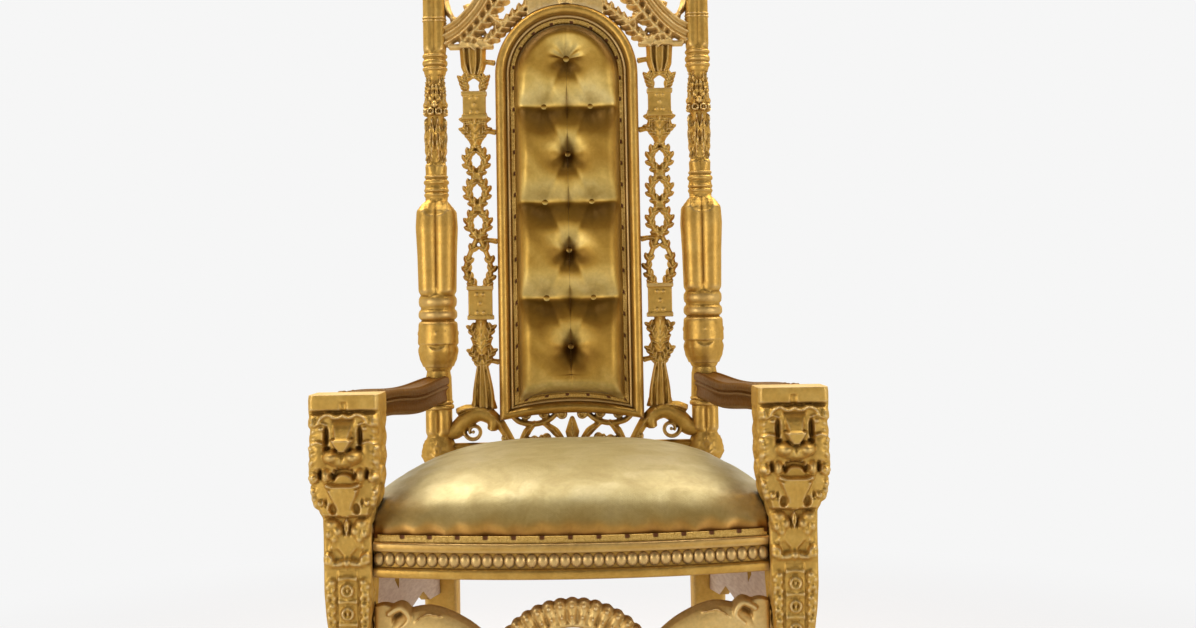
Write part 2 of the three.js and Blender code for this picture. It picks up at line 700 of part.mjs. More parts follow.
function sideFret(side) {
  const back = fretThick / 2;
  const flat = bar(-back, back);
  const at = (u, v) => [
    side * (openingHalf + frameWidth + gap + (u / 100) * fretWidth), fretFoot + gap + (v / 100) * fretHeight];
  const onAxis = (off, v) => at(fretAxis(v) + off, v);
  const stem = (spots, widths, steps, section = flat) => strand(spots.map(([off, v]) => onAxis(off, v)),
    widths.map((share) => (share / 100) * fretWidth), steps, section);
  const square = (low, high, half) => {
    const [a, b] = [onAxis(-half, low), onAxis(half, high)];
    return block(Math.min(a[0], b[0]), Math.max(a[0], b[0]), back - blockThick, back, a[1], b[1]);
  };
  const tab = (v) => {
    const [near, far] = [at(0, v), onAxis(0, v)];
    return block(Math.min(near[0], far[0]), Math.max(near[0], far[0]), -4, 4, near[1] - 3, near[1] + 3);
  };
  const pieces = [
    stem([[0, -0.5], [0, 5.6], [0, 15]], [76, 62, 32, 30, 36], 4),
    stem([[0, 14.5], [0, 19], [0, 25]], [30, 56, 22], 2, scroll(-back - 4, back)),
    square(24.4, 33.7, 29), square(80.3, 87.9, 26),
    stem([[-12, 33], [-30, 39], [0, 48]], [18, 12, 14], 3),
    stem([[14, 33], [36, 39], [0, 48]], [18, 12, 14], 3),
    stem([[0, 72], [0, 76.5], [0, 81]], [14, 56, 24], 2, scroll(-back - 4, back)),
    stem([[-16, 87.5], [-28, 90], [-4, 92.6]], [14, 11, 14], 2),
    stem([[14, 87.5], [30, 90], [4, 92.6]], [14, 11, 14], 2),
    stem([[0, 91.8], [0, 95], [0, 100.5]], [34, 66, 72], 2),
    stem([[16, 61], [40, 64], [44, 68]], [2, 18, 2], 2, leaf(-back, back)),
    ...[12.6, 46, 76.5, 96].map(tab),
  ];
  const turns = 3;
  const wave = (i) => 25 * Math.sin((Math.PI * i) / 4);
  const crossing = (hand) => (_, i) => [hand * wave(i), lerp(47, 73, i / (turns * 4))];
  for (const hand of [-1, 1]) {
    const spots = Array.from({ length: turns * 4 + 1 }, crossing(hand));
    pieces.push(stem(spots, [14, 14], turns * 3, leaf(-back - 3, back)));
  }
  const span = [-legX, legX, -40, 40];
  return fitted(onBack(joined(pieces)), onBack(block(...span, fretFoot - 40, fretFoot + gap)),
    onBack(block(...span, crestFoot - gap, crestFoot + 40)));
}

// Lower back rail, drawn in hundredths of half its span and of its height.
function lowerBackRail() {
  const back = 9;
  const reach = postX - columnHalf;
  const rise = fretFoot - lowerRailBottom;
  const at = (u, v) => [(u / 100) * reach, lowerRailBottom + (v / 100) * rise];
  const carved = (spots, widths, steps, section) =>
    [-1, 1].map((side) => strand(spots.map(([u, v]) => at(side * u, v)), widths, steps, section));
  const pieces = [
    strand([at(-106, 8), at(106, 8)], [13, 13], 1, bar(-9, back)),
    ...carved([[108, 44], [94, 40], [84, 62], [74, 92], [62, 84]],
      [40, 36, 30, 22, 12], 4, scroll(-18, back)),
    ...carved([[94, 30], [80, 12], [70, 28], [80, 50]], [14, 10, 8, 8], 3, leaf(-12, back)),
    ...carved([[70, 94], [60, 60], [49, 8]], [15, 18, 14], 2, scroll(-17, back)),
    ...carved([[6, 8], [14, 42], [30, 66]], [8, 17, 8], 2, leaf(-11, back)),
    ...carved([[24, 60], [31, 82], [38, 52], [44, 10]], [10, 9, 9, 8], 3, leaf(-10, back)),
    ...carved([[2, 34], [17, 64], [26, 96]], [8, 10, 8], 2, leaf(-9, back)),
    strand([at(0, 6), at(0, 40), at(0, 76)], [12, 26, 4], 2, scroll(-14, back)),
  ];
  const top = block(-postX, postX, -40, 40, fretFoot, fretFoot + 60);
  return fitted(onBack(joined(pieces)), frameSolid(), onBack(top), ...bothSides(backPost, gap));
}

// A ribbed shell: one lobe for each length in tips, spread about the vertical, with grooves between.
function shell([x, z], tips, spread, notch, [front, back]) {
  const stations = tips.flatMap((tip, i) => [
    [i, notch * Math.min(tip, tips[i - 1] ?? tip), 9], [i + 0.27, tip, 0], [i + 0.73, tip, 0]]);
  stations.push([tips.length, notch * tips.at(-1), 9]);
  return loft(stations.map(([place, rim, groove]) => {
    const angle = lerp(-spread, spread, place / tips.length);
    return [[0.1, back], [1, back], [1, front + 6 + groove], [0.6, front + groove]]
      .map(([r, y]) => [x + r * rim * Math.sin(angle), y, z + r * rim * Math.cos(angle)]);
  }));
}

// Crest: drawn in hundredths of half its span and of its height.
function crest() {
  const back = crestThick / 2;
  const front = -crestThick / 2;
  const reach = postX - shaftHalf;
  const rise = crestTop - crestFoot;
  const at = (u, v) => [(u / 100) * reach, crestFoot + gap + (v / 100) * (rise - gap)];
  const carved = (spots, widths, steps, section) =>
    [-1, 1].map((side) => strand(spots.map(([u, v]) => at(side * u, v)), widths, steps, section));
  const bandFront = back - crestBandThick;
  const pieces = [
    ...carved([[105, 4.6], [90, 9], [74, 18], [63, 29], [57, 40], [50, 48.5], [37, 51.5], [28, 47]],
      [42, 36, 32, 30, 28, 25, 20, 15], 8, scroll(bandFront, back)),
    ...carved([[98, 1], [60, 1]], [10, 10], 1, bar(front, back)),
    ...carved([[88, 2], [74, 9], [60, 18], [48, 27], [42, 42]], [12, 12, 11, 11, 10], 4, leaf(front, back)),
  ];
  const leaves = [
    [[80, 6], [69, 3], [58, 4.5]], [[64, 15], [54, 11], [47, 14]], [[50, 26], [40, 25], [33, 27]]];
  for (const spots of leaves) pieces.push(...carved(spots, [6, 24, 4], 2, leaf(front, back)));
  const [plinthHalf, plinthTop] = at(33, 36);
  const [, plinthFoot] = at(0, 4);
  const [capHalf, capTop] = at(36, 39);
  pieces.push(prism([[-plinthHalf, plinthFoot], [plinthHalf, plinthFoot], [plinthHalf * 0.86, plinthTop],
    [-plinthHalf * 0.86, plinthTop]], front - 4, back));
  pieces.push(block(-capHalf, capHalf, front - 9, back, plinthTop - 2, capTop));
  const root = capTop - 8;
  const shares = [0.6, 0.78, 0.92, 1, 0.92, 0.78, 0.6];
  const tips = shares.map((share) => share * (crestTop - root));
  pieces.push(shell([0, root], tips, THREE.MathUtils.degToRad(74), 0.88, [front, back]));
  const floor = block(-postX, postX, -60, 60, crestFoot - 120, crestFoot);
  return fitted(onBack(joined(pieces)), frameSolid(), onBack(floor), ...bothSides(backPost, gap));
}

// Front apron: a pierced half shell between two broad leaf scrolls, over an arched strap.
function frontApron() {
  const back = apronThick / 2;
  const front = -apronThick / 2;
  const reach = legX - legHalf;
  const rise = apronTop - apronBottom;
  const at = (u, v) => [(u / 100) * reach, apronBottom + (v / 100) * rise];
  const carved = (spots, widths, steps, section) =>
    [-1, 1].map((side) => strand(spots.map(([u, v]) => at(side * u, v)), widths, steps, section));
  const pieces = [
    ...carved([[96, 0], [96, 98]], [30, 30], 1, bar(front, back)),
    ...carved([[94, 90], [87, 95], [83, 86], [88, 78]], [14, 16, 14, 12], 3, leaf(front - 5, back)),
    ...carved([[98, 58], [86, 76], [73, 80], [57, 70], [43, 52], [34, 32], [36, 16], [45, 22]],
      [36, 52, 60, 56, 48, 40, 26, 14], 7, scroll(front - 2, back)),
    strand([at(-102, 14), at(-64, 4), at(-28, 16), at(0, 27), at(28, 16), at(64, 4), at(102, 14)],
      [26, 26], 6, bar(front + 4, back)),
  ];
  const [, shellFoot] = at(0, 27);
  const radius = apronTop - shellFoot;
  const lobes = 7;
  const spread = THREE.MathUtils.degToRad(84);
  const rim = Array.from({ length: lobes * 2 + 1 }, (_, i) => {
    const angle = lerp(-spread, spread, i / (lobes * 2));
    const outer = radius * (i % 2 ? 1 : 0.93);
    return [[outer, back], [radius * 0.78, back], [radius * 0.78, front + 8], [outer, front]]
      .map(([r, y]) => [r * Math.sin(angle), y, shellFoot + r * Math.cos(angle)]);
  });
  pieces.push(loft(rim));
  for (let i = 0; i < lobes - 1; i++) {
    const angle = lerp(-spread, spread, (i + 1) / lobes);
    const spot = (r) => [r * radius * Math.sin(angle), shellFoot + r * radius * Math.cos(angle)];
    pieces.push(strand([spot(0.1), spot(0.85)], [8, 20], 1, leaf(front + 4, back)));
  }
  pieces.push(strand([[0, shellFoot - 20], [0, shellFoot + 14], [0, shellFoot + 42]], [40, 54, 12], 2,
    scroll(front - 4, back)));
  const placed = moved(joined(pieces), (x, y, z) => [x, y + legY, z]);
  return fitted(placed, ...bothSides(frontLeg, gap));
}

// Side aprons: boards under the side rails with a shaped lower edge and a few pierced cuts.
function sideApron(side) {
  const start = legY + legBack / 2;
  const end = postY;
  const span = end - start;
  const top = railBottom - gap;
  const at = (u, v) => new THREE.Vector2((u / 100) * span, top - sideApronDepth + (v / 100) * sideApronDepth);
  const hem = [[0, 0], [18, 4], [27, 22], [40, 14], [50, 4], [60, 14], [73, 22], [82, 4], [100, 0]];
  const shape = new THREE.Shape([...hem, [100, 100], [0, 100]].map(([u, v]) => at(u, v)));
  for (const [u, v, lean] of [[42, 62, 1], [58, 62, -1]]) {
    shape.holes.push(new THREE.Path([at(u - 1, v + 13), at(u - 2.2 - lean, v), at(u + lean, v - 13),
      at(u + 2.2 - lean * 0.4, v)]));
  }
  shape.holes.push(new THREE.Path([at(50, 88), at(48, 70), at(50, 58), at(52, 70)]));
  const board = new THREE.ExtrudeGeometry(shape, { depth: sideApronThick, bevelEnabled: false });
  const placed = moved(board, (along, z, thick) => {
    const y = start + along;
    return [side * (sideX(y) + sideOut - 6 - thick), y, z];
  });
  return fitted(bodyFrom(placed), frontLeg(side, gap), backPost(side, gap));
}

// A geometry's own triangles as a body, so that one mapped through a mirror faces out again.
function bodyFrom(geometry) {
  const bare = geometry.clone();
  for (const name of ['normal', 'uv']) bare.deleteAttribute(name);
  const merged = mergeVertices(bare, 1e-4);
  const place = merged.attributes.position;
  const points = Array.from({ length: place.count }, (_, i) => [place.getX(i), place.getY(i), place.getZ(i)]);
  const index = [...merged.index.array];
  const triangles = Array.from({ length: index.length / 3 }, (_, i) => index.slice(i * 3, i * 3 + 3));
  return bodyGeometry(points, triangles);
}

function piece(name, geometry, material) {
  const mesh = new THREE.Mesh(geometry, material);
  mesh.name = name;
  return mesh;
}

function group(...meshes) {
  const set = new THREE.Group();
  set.add(...meshes);
  return set;
}

const sides = [[-1, 'left'], [1, 'right']];
const pair = (name, make, material) =>
  sides.map(([side, word]) => piece(`${name}_${word}`, make(side), material));

const buttonMeshes = buttons.map((spot, i) => {
  const mesh = piece(`tuft_button_${i + 1}`, buttonGeometry(), satin);
  mesh.position.set(...buttonPlace(spot));
  mesh.rotation.x = -backLean;
  return mesh;
});

const throne = group(
  group(...pair('front_leg_lion', frontLeg, gilt), piece('front_apron', frontApron(), gilt)),
  group(piece('front_seat_rail', joined([frontRail(), ...beads()]), gilt),
    piece('rear_seat_rail', rearRail(), giltShade), ...pair('side_seat_rail', sideRail, gilt),
    ...pair('side_apron', sideApron, giltShade), piece('seat_board', seatBoard(), rawWood)),
  group(...pair('back_post', backPost, gilt), ...pair('arm', arm, gilt)),
  group(piece('panel_frame', panelFrame(), gilt), piece('back_board', backBoard(), rawWood),
    ...pair('side_fret', sideFret, giltShade), piece('lower_back_rail', lowerBackRail(), gilt),
    piece('crest', crest(), gilt)),
  group(piece('seat_cushion', seatCushion(), satin), piece('seat_gimp_front', seatGimpFront(), braid),
    ...pair('seat_gimp', seatGimpSide, braid), piece('back_pad', backPad(), satin),
    piece('back_gimp', backGimp(), braid), ...buttonMeshes),
);

// The origin is under the middle of the throne's outer box, on the floor.
const outer = new THREE.Box3().setFromObject(throne);
throne.position.y = -(outer.min.y + outer.max.y) / 2;

export default throne;
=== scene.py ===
import math

import bmesh
import bpy
import numpy as np
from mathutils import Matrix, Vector


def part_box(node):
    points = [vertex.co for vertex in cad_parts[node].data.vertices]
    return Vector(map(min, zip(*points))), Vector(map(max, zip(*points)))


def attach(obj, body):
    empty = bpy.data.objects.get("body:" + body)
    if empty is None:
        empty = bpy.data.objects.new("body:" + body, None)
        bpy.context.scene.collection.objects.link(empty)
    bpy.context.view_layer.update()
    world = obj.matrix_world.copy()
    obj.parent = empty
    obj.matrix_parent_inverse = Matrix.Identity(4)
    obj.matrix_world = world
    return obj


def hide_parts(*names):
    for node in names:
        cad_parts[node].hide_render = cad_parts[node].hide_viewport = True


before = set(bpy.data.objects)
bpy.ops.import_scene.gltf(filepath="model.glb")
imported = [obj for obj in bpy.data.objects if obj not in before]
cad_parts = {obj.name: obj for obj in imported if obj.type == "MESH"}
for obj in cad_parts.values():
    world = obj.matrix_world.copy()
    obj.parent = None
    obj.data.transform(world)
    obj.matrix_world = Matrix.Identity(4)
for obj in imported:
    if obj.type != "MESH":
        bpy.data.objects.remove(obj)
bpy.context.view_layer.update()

scene = bpy.context.scene

# Everything below is in millimetres, in a plan whose y is 0 half way between front legs and back posts
mm = 0.001
railLow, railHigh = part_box("rear_seat_rail")
throne = {
    "legX": 341, "legY": -276,          # front legs' centres
    "postX": 261, "postY": 276,         # back posts' centres
    "railBottom": 417, "railTop": 471,
    "armTop": 699,
    "rearLegTop": 520,
    "backLean": math.radians(3), "legSplay": math.radians(5),
    "gap": 0.3,
}
planShift = (railLow.y + railHigh.y) / 2 / mm - throne["postY"]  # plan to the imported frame
legX, legY, postX, postY = (throne[key] for key in ("legX", "legY", "postX", "postY"))
railBottom, railTop, armTop, gap = (throne[key] for key in ("railBottom", "railTop", "armTop", "gap"))
sides = ((-1, "left"), (1, "right"))


# Numbers

def mix(low, high, share):
    # low at share 0, high at share 1
    return low + (high - low) * share


def ease(start, end, value):
    # 0 before the start, 1 after the end, and t*t*(3-2t) between
    t = np.clip((value - start) / (end - start), 0, 1)
    return t * t * (3 - 2 * t)


def mound(x, z, middle, radii, rise):
    # half an ellipsoid: rise times the root of what is left inside the oval
    away = ((x - middle[0]) / radii[0]) ** 2 + ((z - middle[1]) / radii[1]) ** 2
    return rise * np.sqrt(np.clip(1 - away, 0, 1))


def ringOn(x, z, middle, radius, thick, rise):
    # half a torus lying on the face
    off = (np.hypot(x - middle[0], z - middle[1]) - radius) / thick
    return rise * np.sqrt(np.clip(1 - off ** 2, 0, 1))


def cord(x, z, line, half, rise, steps=20):
    # a rounded ridge along a smooth line: rise times the root of 1 - (distance / half width) squared
    place, way = alongSpline(line, steps)
    nearest = np.full(np.shape(x), 1e9)
    for start, end in zip(place[:-1], place[1:]):
        side = end - start
        t = np.clip(((x - start[0]) * side[0] + (z - start[1]) * side[1]) / side.dot(side), 0, 1)
        nearest = np.minimum(nearest, np.hypot(x - start[0] - t * side[0], z - start[1] - t * side[1]))
    return rise * np.sqrt(np.clip(1 - (nearest / half) ** 2, 0, 1))


def leafOn(x, z, base, tip, wide, rise, lobes=5):
    # a leaf from base to tip: half width is wide times sin(pi s), less at the notches between its lobes
    run = np.subtract(tip, base).astype(float)
    length = np.hypot(*run)
    s = ((x - base[0]) * run[0] + (z - base[1]) * run[1]) / length ** 2
    off = ((x - base[0]) * -run[1] + (z - base[1]) * run[0]) / length
    inside = (s > 0) & (s < 1)
    s = np.clip(s, 0, 1)
    half = wide * np.sin(math.pi * s ** 0.8) * (1 - 0.28 * np.abs(np.sin(lobes * math.pi * s)) ** 3) + 0.01
    share = np.abs(off) / half
    veins = 0.2 * np.cos(2 * math.pi * (lobes * s - 1.2 * share))
    body = np.sqrt(np.clip(1 - share ** 2, 0, 1)) * (0.82 + veins)
    rib = 0.4 * np.exp(-(off / 1.1) ** 2) * np.sin(math.pi * s)
    return np.where(inside & (share < 1), rise * (body - rib), 0)


def blurred(field, times=1, wrap=False):
    # each value becomes a quarter of both neighbours and half of itself, both ways
    for _ in range(times):
        edge = np.pad(field, ((1, 1), (0, 0)), mode="edge")
        field = (edge[:-2] + 2 * edge[1:-1] + edge[2:]) / 4
        edge = np.pad(field, ((0, 0), (1, 1)), mode="wrap" if wrap else "edge")
        field = (edge[:, :-2] + 2 * edge[:, 1:-1] + edge[:, 2:]) / 4
    return field


def alongSpline(line, steps):
    # Catmull-Rom through the points: places and unit directions at even parameters
    spots = np.asarray(line, float)
    t = np.linspace(0, len(spots) - 1, steps + 1)
    low = np.minimum(t.astype(int), len(spots) - 2)
    w = (t - low)[:, None]
    before, here, after, beyond = (spots[np.clip(low + k, 0, len(spots) - 1)] for k in (-1, 0, 1, 2))
    out, into = (after - before) / 2, (beyond - here) / 2
    cubic, square = 2 * here - 2 * after + out + into, -3 * here + 3 * after - 2 * out - into
    place = cubic * w ** 3 + square * w ** 2 + out * w + here
    slope = 3 * cubic * w ** 2 + 2 * square * w + out
    return place, slope / np.maximum(np.linalg.norm(slope, axis=1, keepdims=True), 1e-6)


def wander(points, length, seed=0.0):
    # a smooth wandering value near -1..1: five sine waves of about that length in odd directions
    total = np.zeros(points.shape[:-1])
    for k in range(1, 6):
        way = np.array([math.sin(k * 2.1 + seed), math.cos(k * 3.7 + seed * 2), math.sin(k * 5.3 + seed + 1)])
        total += np.sin(points @ way * (2 * math.pi / length * (0.7 + 0.17 * k)) + k * 1.7 + seed)
    return total / 2.6


# Shapes are (points, quads, triangles)

def facingOut(shape):
    # a negative enclosed volume means the faces look inwards, so each one is turned round
    points, quads, triangles = shape
    split = np.concatenate([quads[:, [0, 1, 2]], quads[:, [0, 2, 3]], triangles])
    a, b, c = (points[split[:, k]] for k in range(3))
    if np.einsum("ij,ij->", a, np.cross(b, c)) < 0:
        quads, triangles = quads[:, ::-1], triangles[:, ::-1]
    return points, quads, triangles


def skin(rows, loop=False):
    # neighbouring rings joined by quads; open ends closed by a fan about their middle
    count, around = rows.shape[:2]
    index = np.arange(count * around).reshape(count, around)
    here, after = (index, np.roll(index, -1, 0)) if loop else (index[:-1], index[1:])
    quads = np.stack([here, np.roll(here, -1, 1), np.roll(after, -1, 1), after], -1).reshape(-1, 4)
    points, triangles = rows.reshape(-1, 3), np.zeros((0, 3), int)
    if not loop:
        first, last, middle = index[0], index[-1], np.full(around, count * around)
        points = np.concatenate([points, rows[[0, -1]].mean(1)])
        triangles = np.concatenate([np.stack([np.roll(first, -1), first, middle], -1),
                                    np.stack([last, np.roll(last, -1), middle + 1], -1)])
    return facingOut((points, quads, triangles))


def joined(shapes):
    # several shapes as one, each one's face numbers moved past the points before it
    offsets = np.cumsum([0] + [len(shape[0]) for shape in shapes[:-1]])
    return (np.concatenate([shape[0] for shape in shapes]),
            np.concatenate([shape[1] + shift for shape, shift in zip(shapes, offsets)]),
            np.concatenate([shape[2] + shift for shape, shift in zip(shapes, offsets)]))


def mirrored(shape):
    # x turned to -x, and the corners turned round so that faces still look outwards
    return shape[0] * [-1, 1, 1], shape[1][:, ::-1], shape[2][:, ::-1]


def moved(shape, change):
    # the same faces over changed points
    return change(shape[0].copy()), shape[1], shape[2]


def leanAt(z):
    # upright at the seat, leaning back above it and splayed back below it
    above = np.maximum(0, z - throne["rearLegTop"]) * math.tan(throne["backLean"])
    return above + np.maximum(0, railBottom - z) * math.tan(throne["legSplay"])


def onBack(points):
    # from the back's own upright plane to its place: back to the posts, and the lean at that height
    points[:, 1] += postY + leanAt(points[:, 2])
    return points


def meshOf(name, shape):
    # points, then corners, then faces, each set as one array
    points, quads, triangles = shape
    mesh = bpy.data.meshes.new(name)
    mesh.vertices.add(len(points))
    mesh.vertices.foreach_set("co", ((points + [0, planShift, 0]) * mm).astype(np.float32).ravel())
    corners = np.concatenate([quads.ravel(), triangles.ravel()]).astype(np.int32)
    mesh.loops.add(len(corners))
    mesh.loops.foreach_set("vertex_index", corners)
    starts = np.concatenate([np.arange(len(quads)) * 4, len(quads) * 4 + np.arange(len(triangles)) * 3])
    mesh.polygons.add(len(starts))
    mesh.polygons.foreach_set("loop_start", starts.astype(np.int32))
    mesh.update(calc_edges=True)
    mesh.validate()
    return mesh


def pointsOf(mesh):
    # a mesh's points, in the plan's millimetres
    places = np.zeros(len(mesh.vertices) * 3, np.float32)
    mesh.vertices.foreach_get("co", places)
    return places.reshape(-1, 3).astype(float) / mm - [0, planShift, 0]


def normalsOf(mesh):
    # a mesh's point normals
    normals = np.zeros(len(mesh.vertices) * 3, np.float32)
    mesh.vertex_normals.foreach_get("vector", normals)
    return normals.reshape(-1, 3).astype(float)


def setPoints(mesh, points):
    # the points put back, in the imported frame
    mesh.vertices.foreach_set("co", ((points + [0, planShift, 0]) * mm).astype(np.float32).ravel())
    mesh.update()


def addPiece(name, mesh, materials, slot, *nodes, sharp=48):
    # smooth faces with a crisp edge wherever two of them turn by more than the sharp angle
    mesh.polygons.foreach_set("use_smooth", np.ones(len(mesh.polygons), bool))
    mesh.set_sharp_from_angle(angle=math.radians(sharp))
    mesh.materials.clear()
    for material in materials:
        mesh.materials.append(material)
    piece = bpy.data.objects.new(name, mesh)
    scene.collection.objects.link(piece)
    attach(piece, "root")
    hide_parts(*nodes)
    return piece


def addBoth(name, node, shapeOf, finish):
    # the piece on the left and its twin on the right, each replacing its own node
    for side, word in sides:
        addPiece(name + word, meshOf(name + word, shapeOf(side)), [finish], "gilded_wood", node + word)


def evaluated(mesh, *modifiers):
    # the mesh after (kind, settings) modifiers, each applied in turn on a passing object
    carrier = bpy.data.objects.new("carrier", mesh)
    scene.collection.objects.link(carrier)
    for kind, settings in modifiers:
        modifier = carrier.modifiers.new(kind.lower(), kind)
        for key, value in settings.items():
            setattr(modifier, key, value)
    graph = bpy.context.evaluated_depsgraph_get()
    made = bpy.data.meshes.new_from_object(carrier.evaluated_get(graph))
    bpy.data.objects.remove(carrier)
    return made


def withoutBubbles(mesh):
    # joined points take the lowest index among them; a group of under 100 is a bubble between strands
    edges = np.zeros(len(mesh.edges) * 2, np.int32)
    mesh.edges.foreach_get("vertices", edges)
    edges = edges.reshape(-1, 2)
    label = np.arange(len(mesh.vertices))
    settled = False
    while not settled:
        low, lower = label[edges].min(1), label.copy()
        np.minimum.at(lower, edges[:, 0], low)
        np.minimum.at(lower, edges[:, 1], low)
        lower = lower[lower]
        settled = (lower == label).all()
        label = lower
    small = np.flatnonzero(np.bincount(label, minlength=len(label))[label] < 100)
    if len(small):
        work = bmesh.new()
        work.from_mesh(mesh)
        work.verts.ensure_lookup_table()
        bmesh.ops.delete(work, geom=[work.verts[k] for k in small], context="VERTS")
        work.to_mesh(mesh)
        work.free()
    return mesh


def fused(name, shapes, voxel, faces, soften=2, cutter=None):
    # overlapping strands made one skin of small squares, relaxed as a carver's edges, cut and thinned
    steps = [("REMESH", {"mode": "VOXEL", "voxel_size": voxel * mm}),
             ("SMOOTH", {"factor": 0.5, "iterations": soften})]
    if cutter:
        tool = bpy.data.objects.new("cutter", meshOf("cutter", cutter))
        scene.collection.objects.link(tool)
        steps.append(("BOOLEAN", {"operation": "DIFFERENCE", "solver": "MANIFOLD", "object": tool}))
    mesh = withoutBubbles(evaluated(meshOf(name, joined(shapes)), *steps))
    if cutter:
        bpy.data.objects.remove(tool)
    corners = len(mesh.loops) - 2 * len(mesh.polygons)  # as many triangles
    mesh = evaluated(mesh, ("DECIMATE", {"ratio": min(1, faces / corners)}))
    mesh.name = name
    print("  %s thinned from %d triangles to %d" % (name, corners, len(mesh.loops) - 2 * len(mesh.polygons)))
    return mesh


def softenedNode(name, node, width, materials, slot):
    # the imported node's own shape, its loose triangles merged and its edges taken off by a plane
    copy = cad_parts[node].data.copy()
    mesh = evaluated(copy, ("WELD", {"merge_threshold": 0.00002}),
                     ("BEVEL", {"width": width * mm, "segments": 2, "limit_method": "ANGLE",
                                "angle_limit": math.radians(35)}))
    return addPiece(name, mesh, materials, slot, node, sharp=35)


# Materials

def linear(hexColour):
    # sRGB hex to linear: (c / 12.92) below 0.04045, else ((c + 0.055) / 1.055) to the power 2.4
    parts = [int(hexColour[k:k + 2], 16) / 255 for k in (1, 3, 5)]
    return tuple(c / 12.92 if c <= 0.04045 else ((c + 0.055) / 1.055) ** 2.4 for c in parts) + (1.0,)


def setSockets(tree, node, sockets):
    # a socket takes a plain value, or (node, output) to link
    for key, value in sockets.items():
        if isinstance(value, tuple) and isinstance(value[0], bpy.types.Node):
            tree.links.new(value[0].outputs[value[1]], node.inputs[key])
        else:
            node.inputs[key].default_value = value


def addNode(tree, kind, sockets=None, **settings):
    # one node with its settings, its plain values and its links
    node = tree.nodes.new(kind)
    for key, value in settings.items():
        setattr(node, key, value)
    setSockets(tree, node, sockets or {})
    return node


def newMaterial(name):
    # an empty material, its shader, and the piece's own coordinates to place patterns with
    material = bpy.data.materials.new(name)
    material.use_nodes = True
    tree = material.node_tree
    tree.nodes.clear()
    shader = addNode(tree, "ShaderNodeBsdfPrincipled")
    addNode(tree, "ShaderNodeOutputMaterial", {"Surface": (shader, "BSDF")})
    return material, tree, shader, (addNode(tree, "ShaderNodeTexCoord"), "Object")


def rampNode(tree, source, stops):
    # stops are (place, colour) pairs in order
    ramp = addNode(tree, "ShaderNodeValToRGB", {"Fac": source})
    bands = ramp.color_ramp.elements
    bands[0].position, bands[0].color = stops[0]
    bands[1].position, bands[1].color = stops[-1]
    for place, colour in stops[1:-1]:
        bands.new(place).color = colour
    return ramp


black, white = (0, 0, 0, 1), (1, 1, 1, 1)

# the glaze colour also serves as painted shade in the hollows, and the rubbed colour also as a painted
# highlight on the edges
giltStyle = {
    "body": "#D6AB56", "glazeAndShade": "#46290A", "rubbedAndHighlight": "#FFEEC4",
    "bright": (1.08, 1.14, 1.3), "deep": (0.9, 0.87, 0.82),  # times the body's linear colour, patch by patch
    "metallic": 0.72, "glance": "#D8B878",
    "patch": 28, "stroke": 6, "grain": 0.9,  # mm: size of tone patches, brush strokes and fine grain
    "crevice": 9,                            # mm: how far the dark glaze and painted shade reach out of a hollow
}


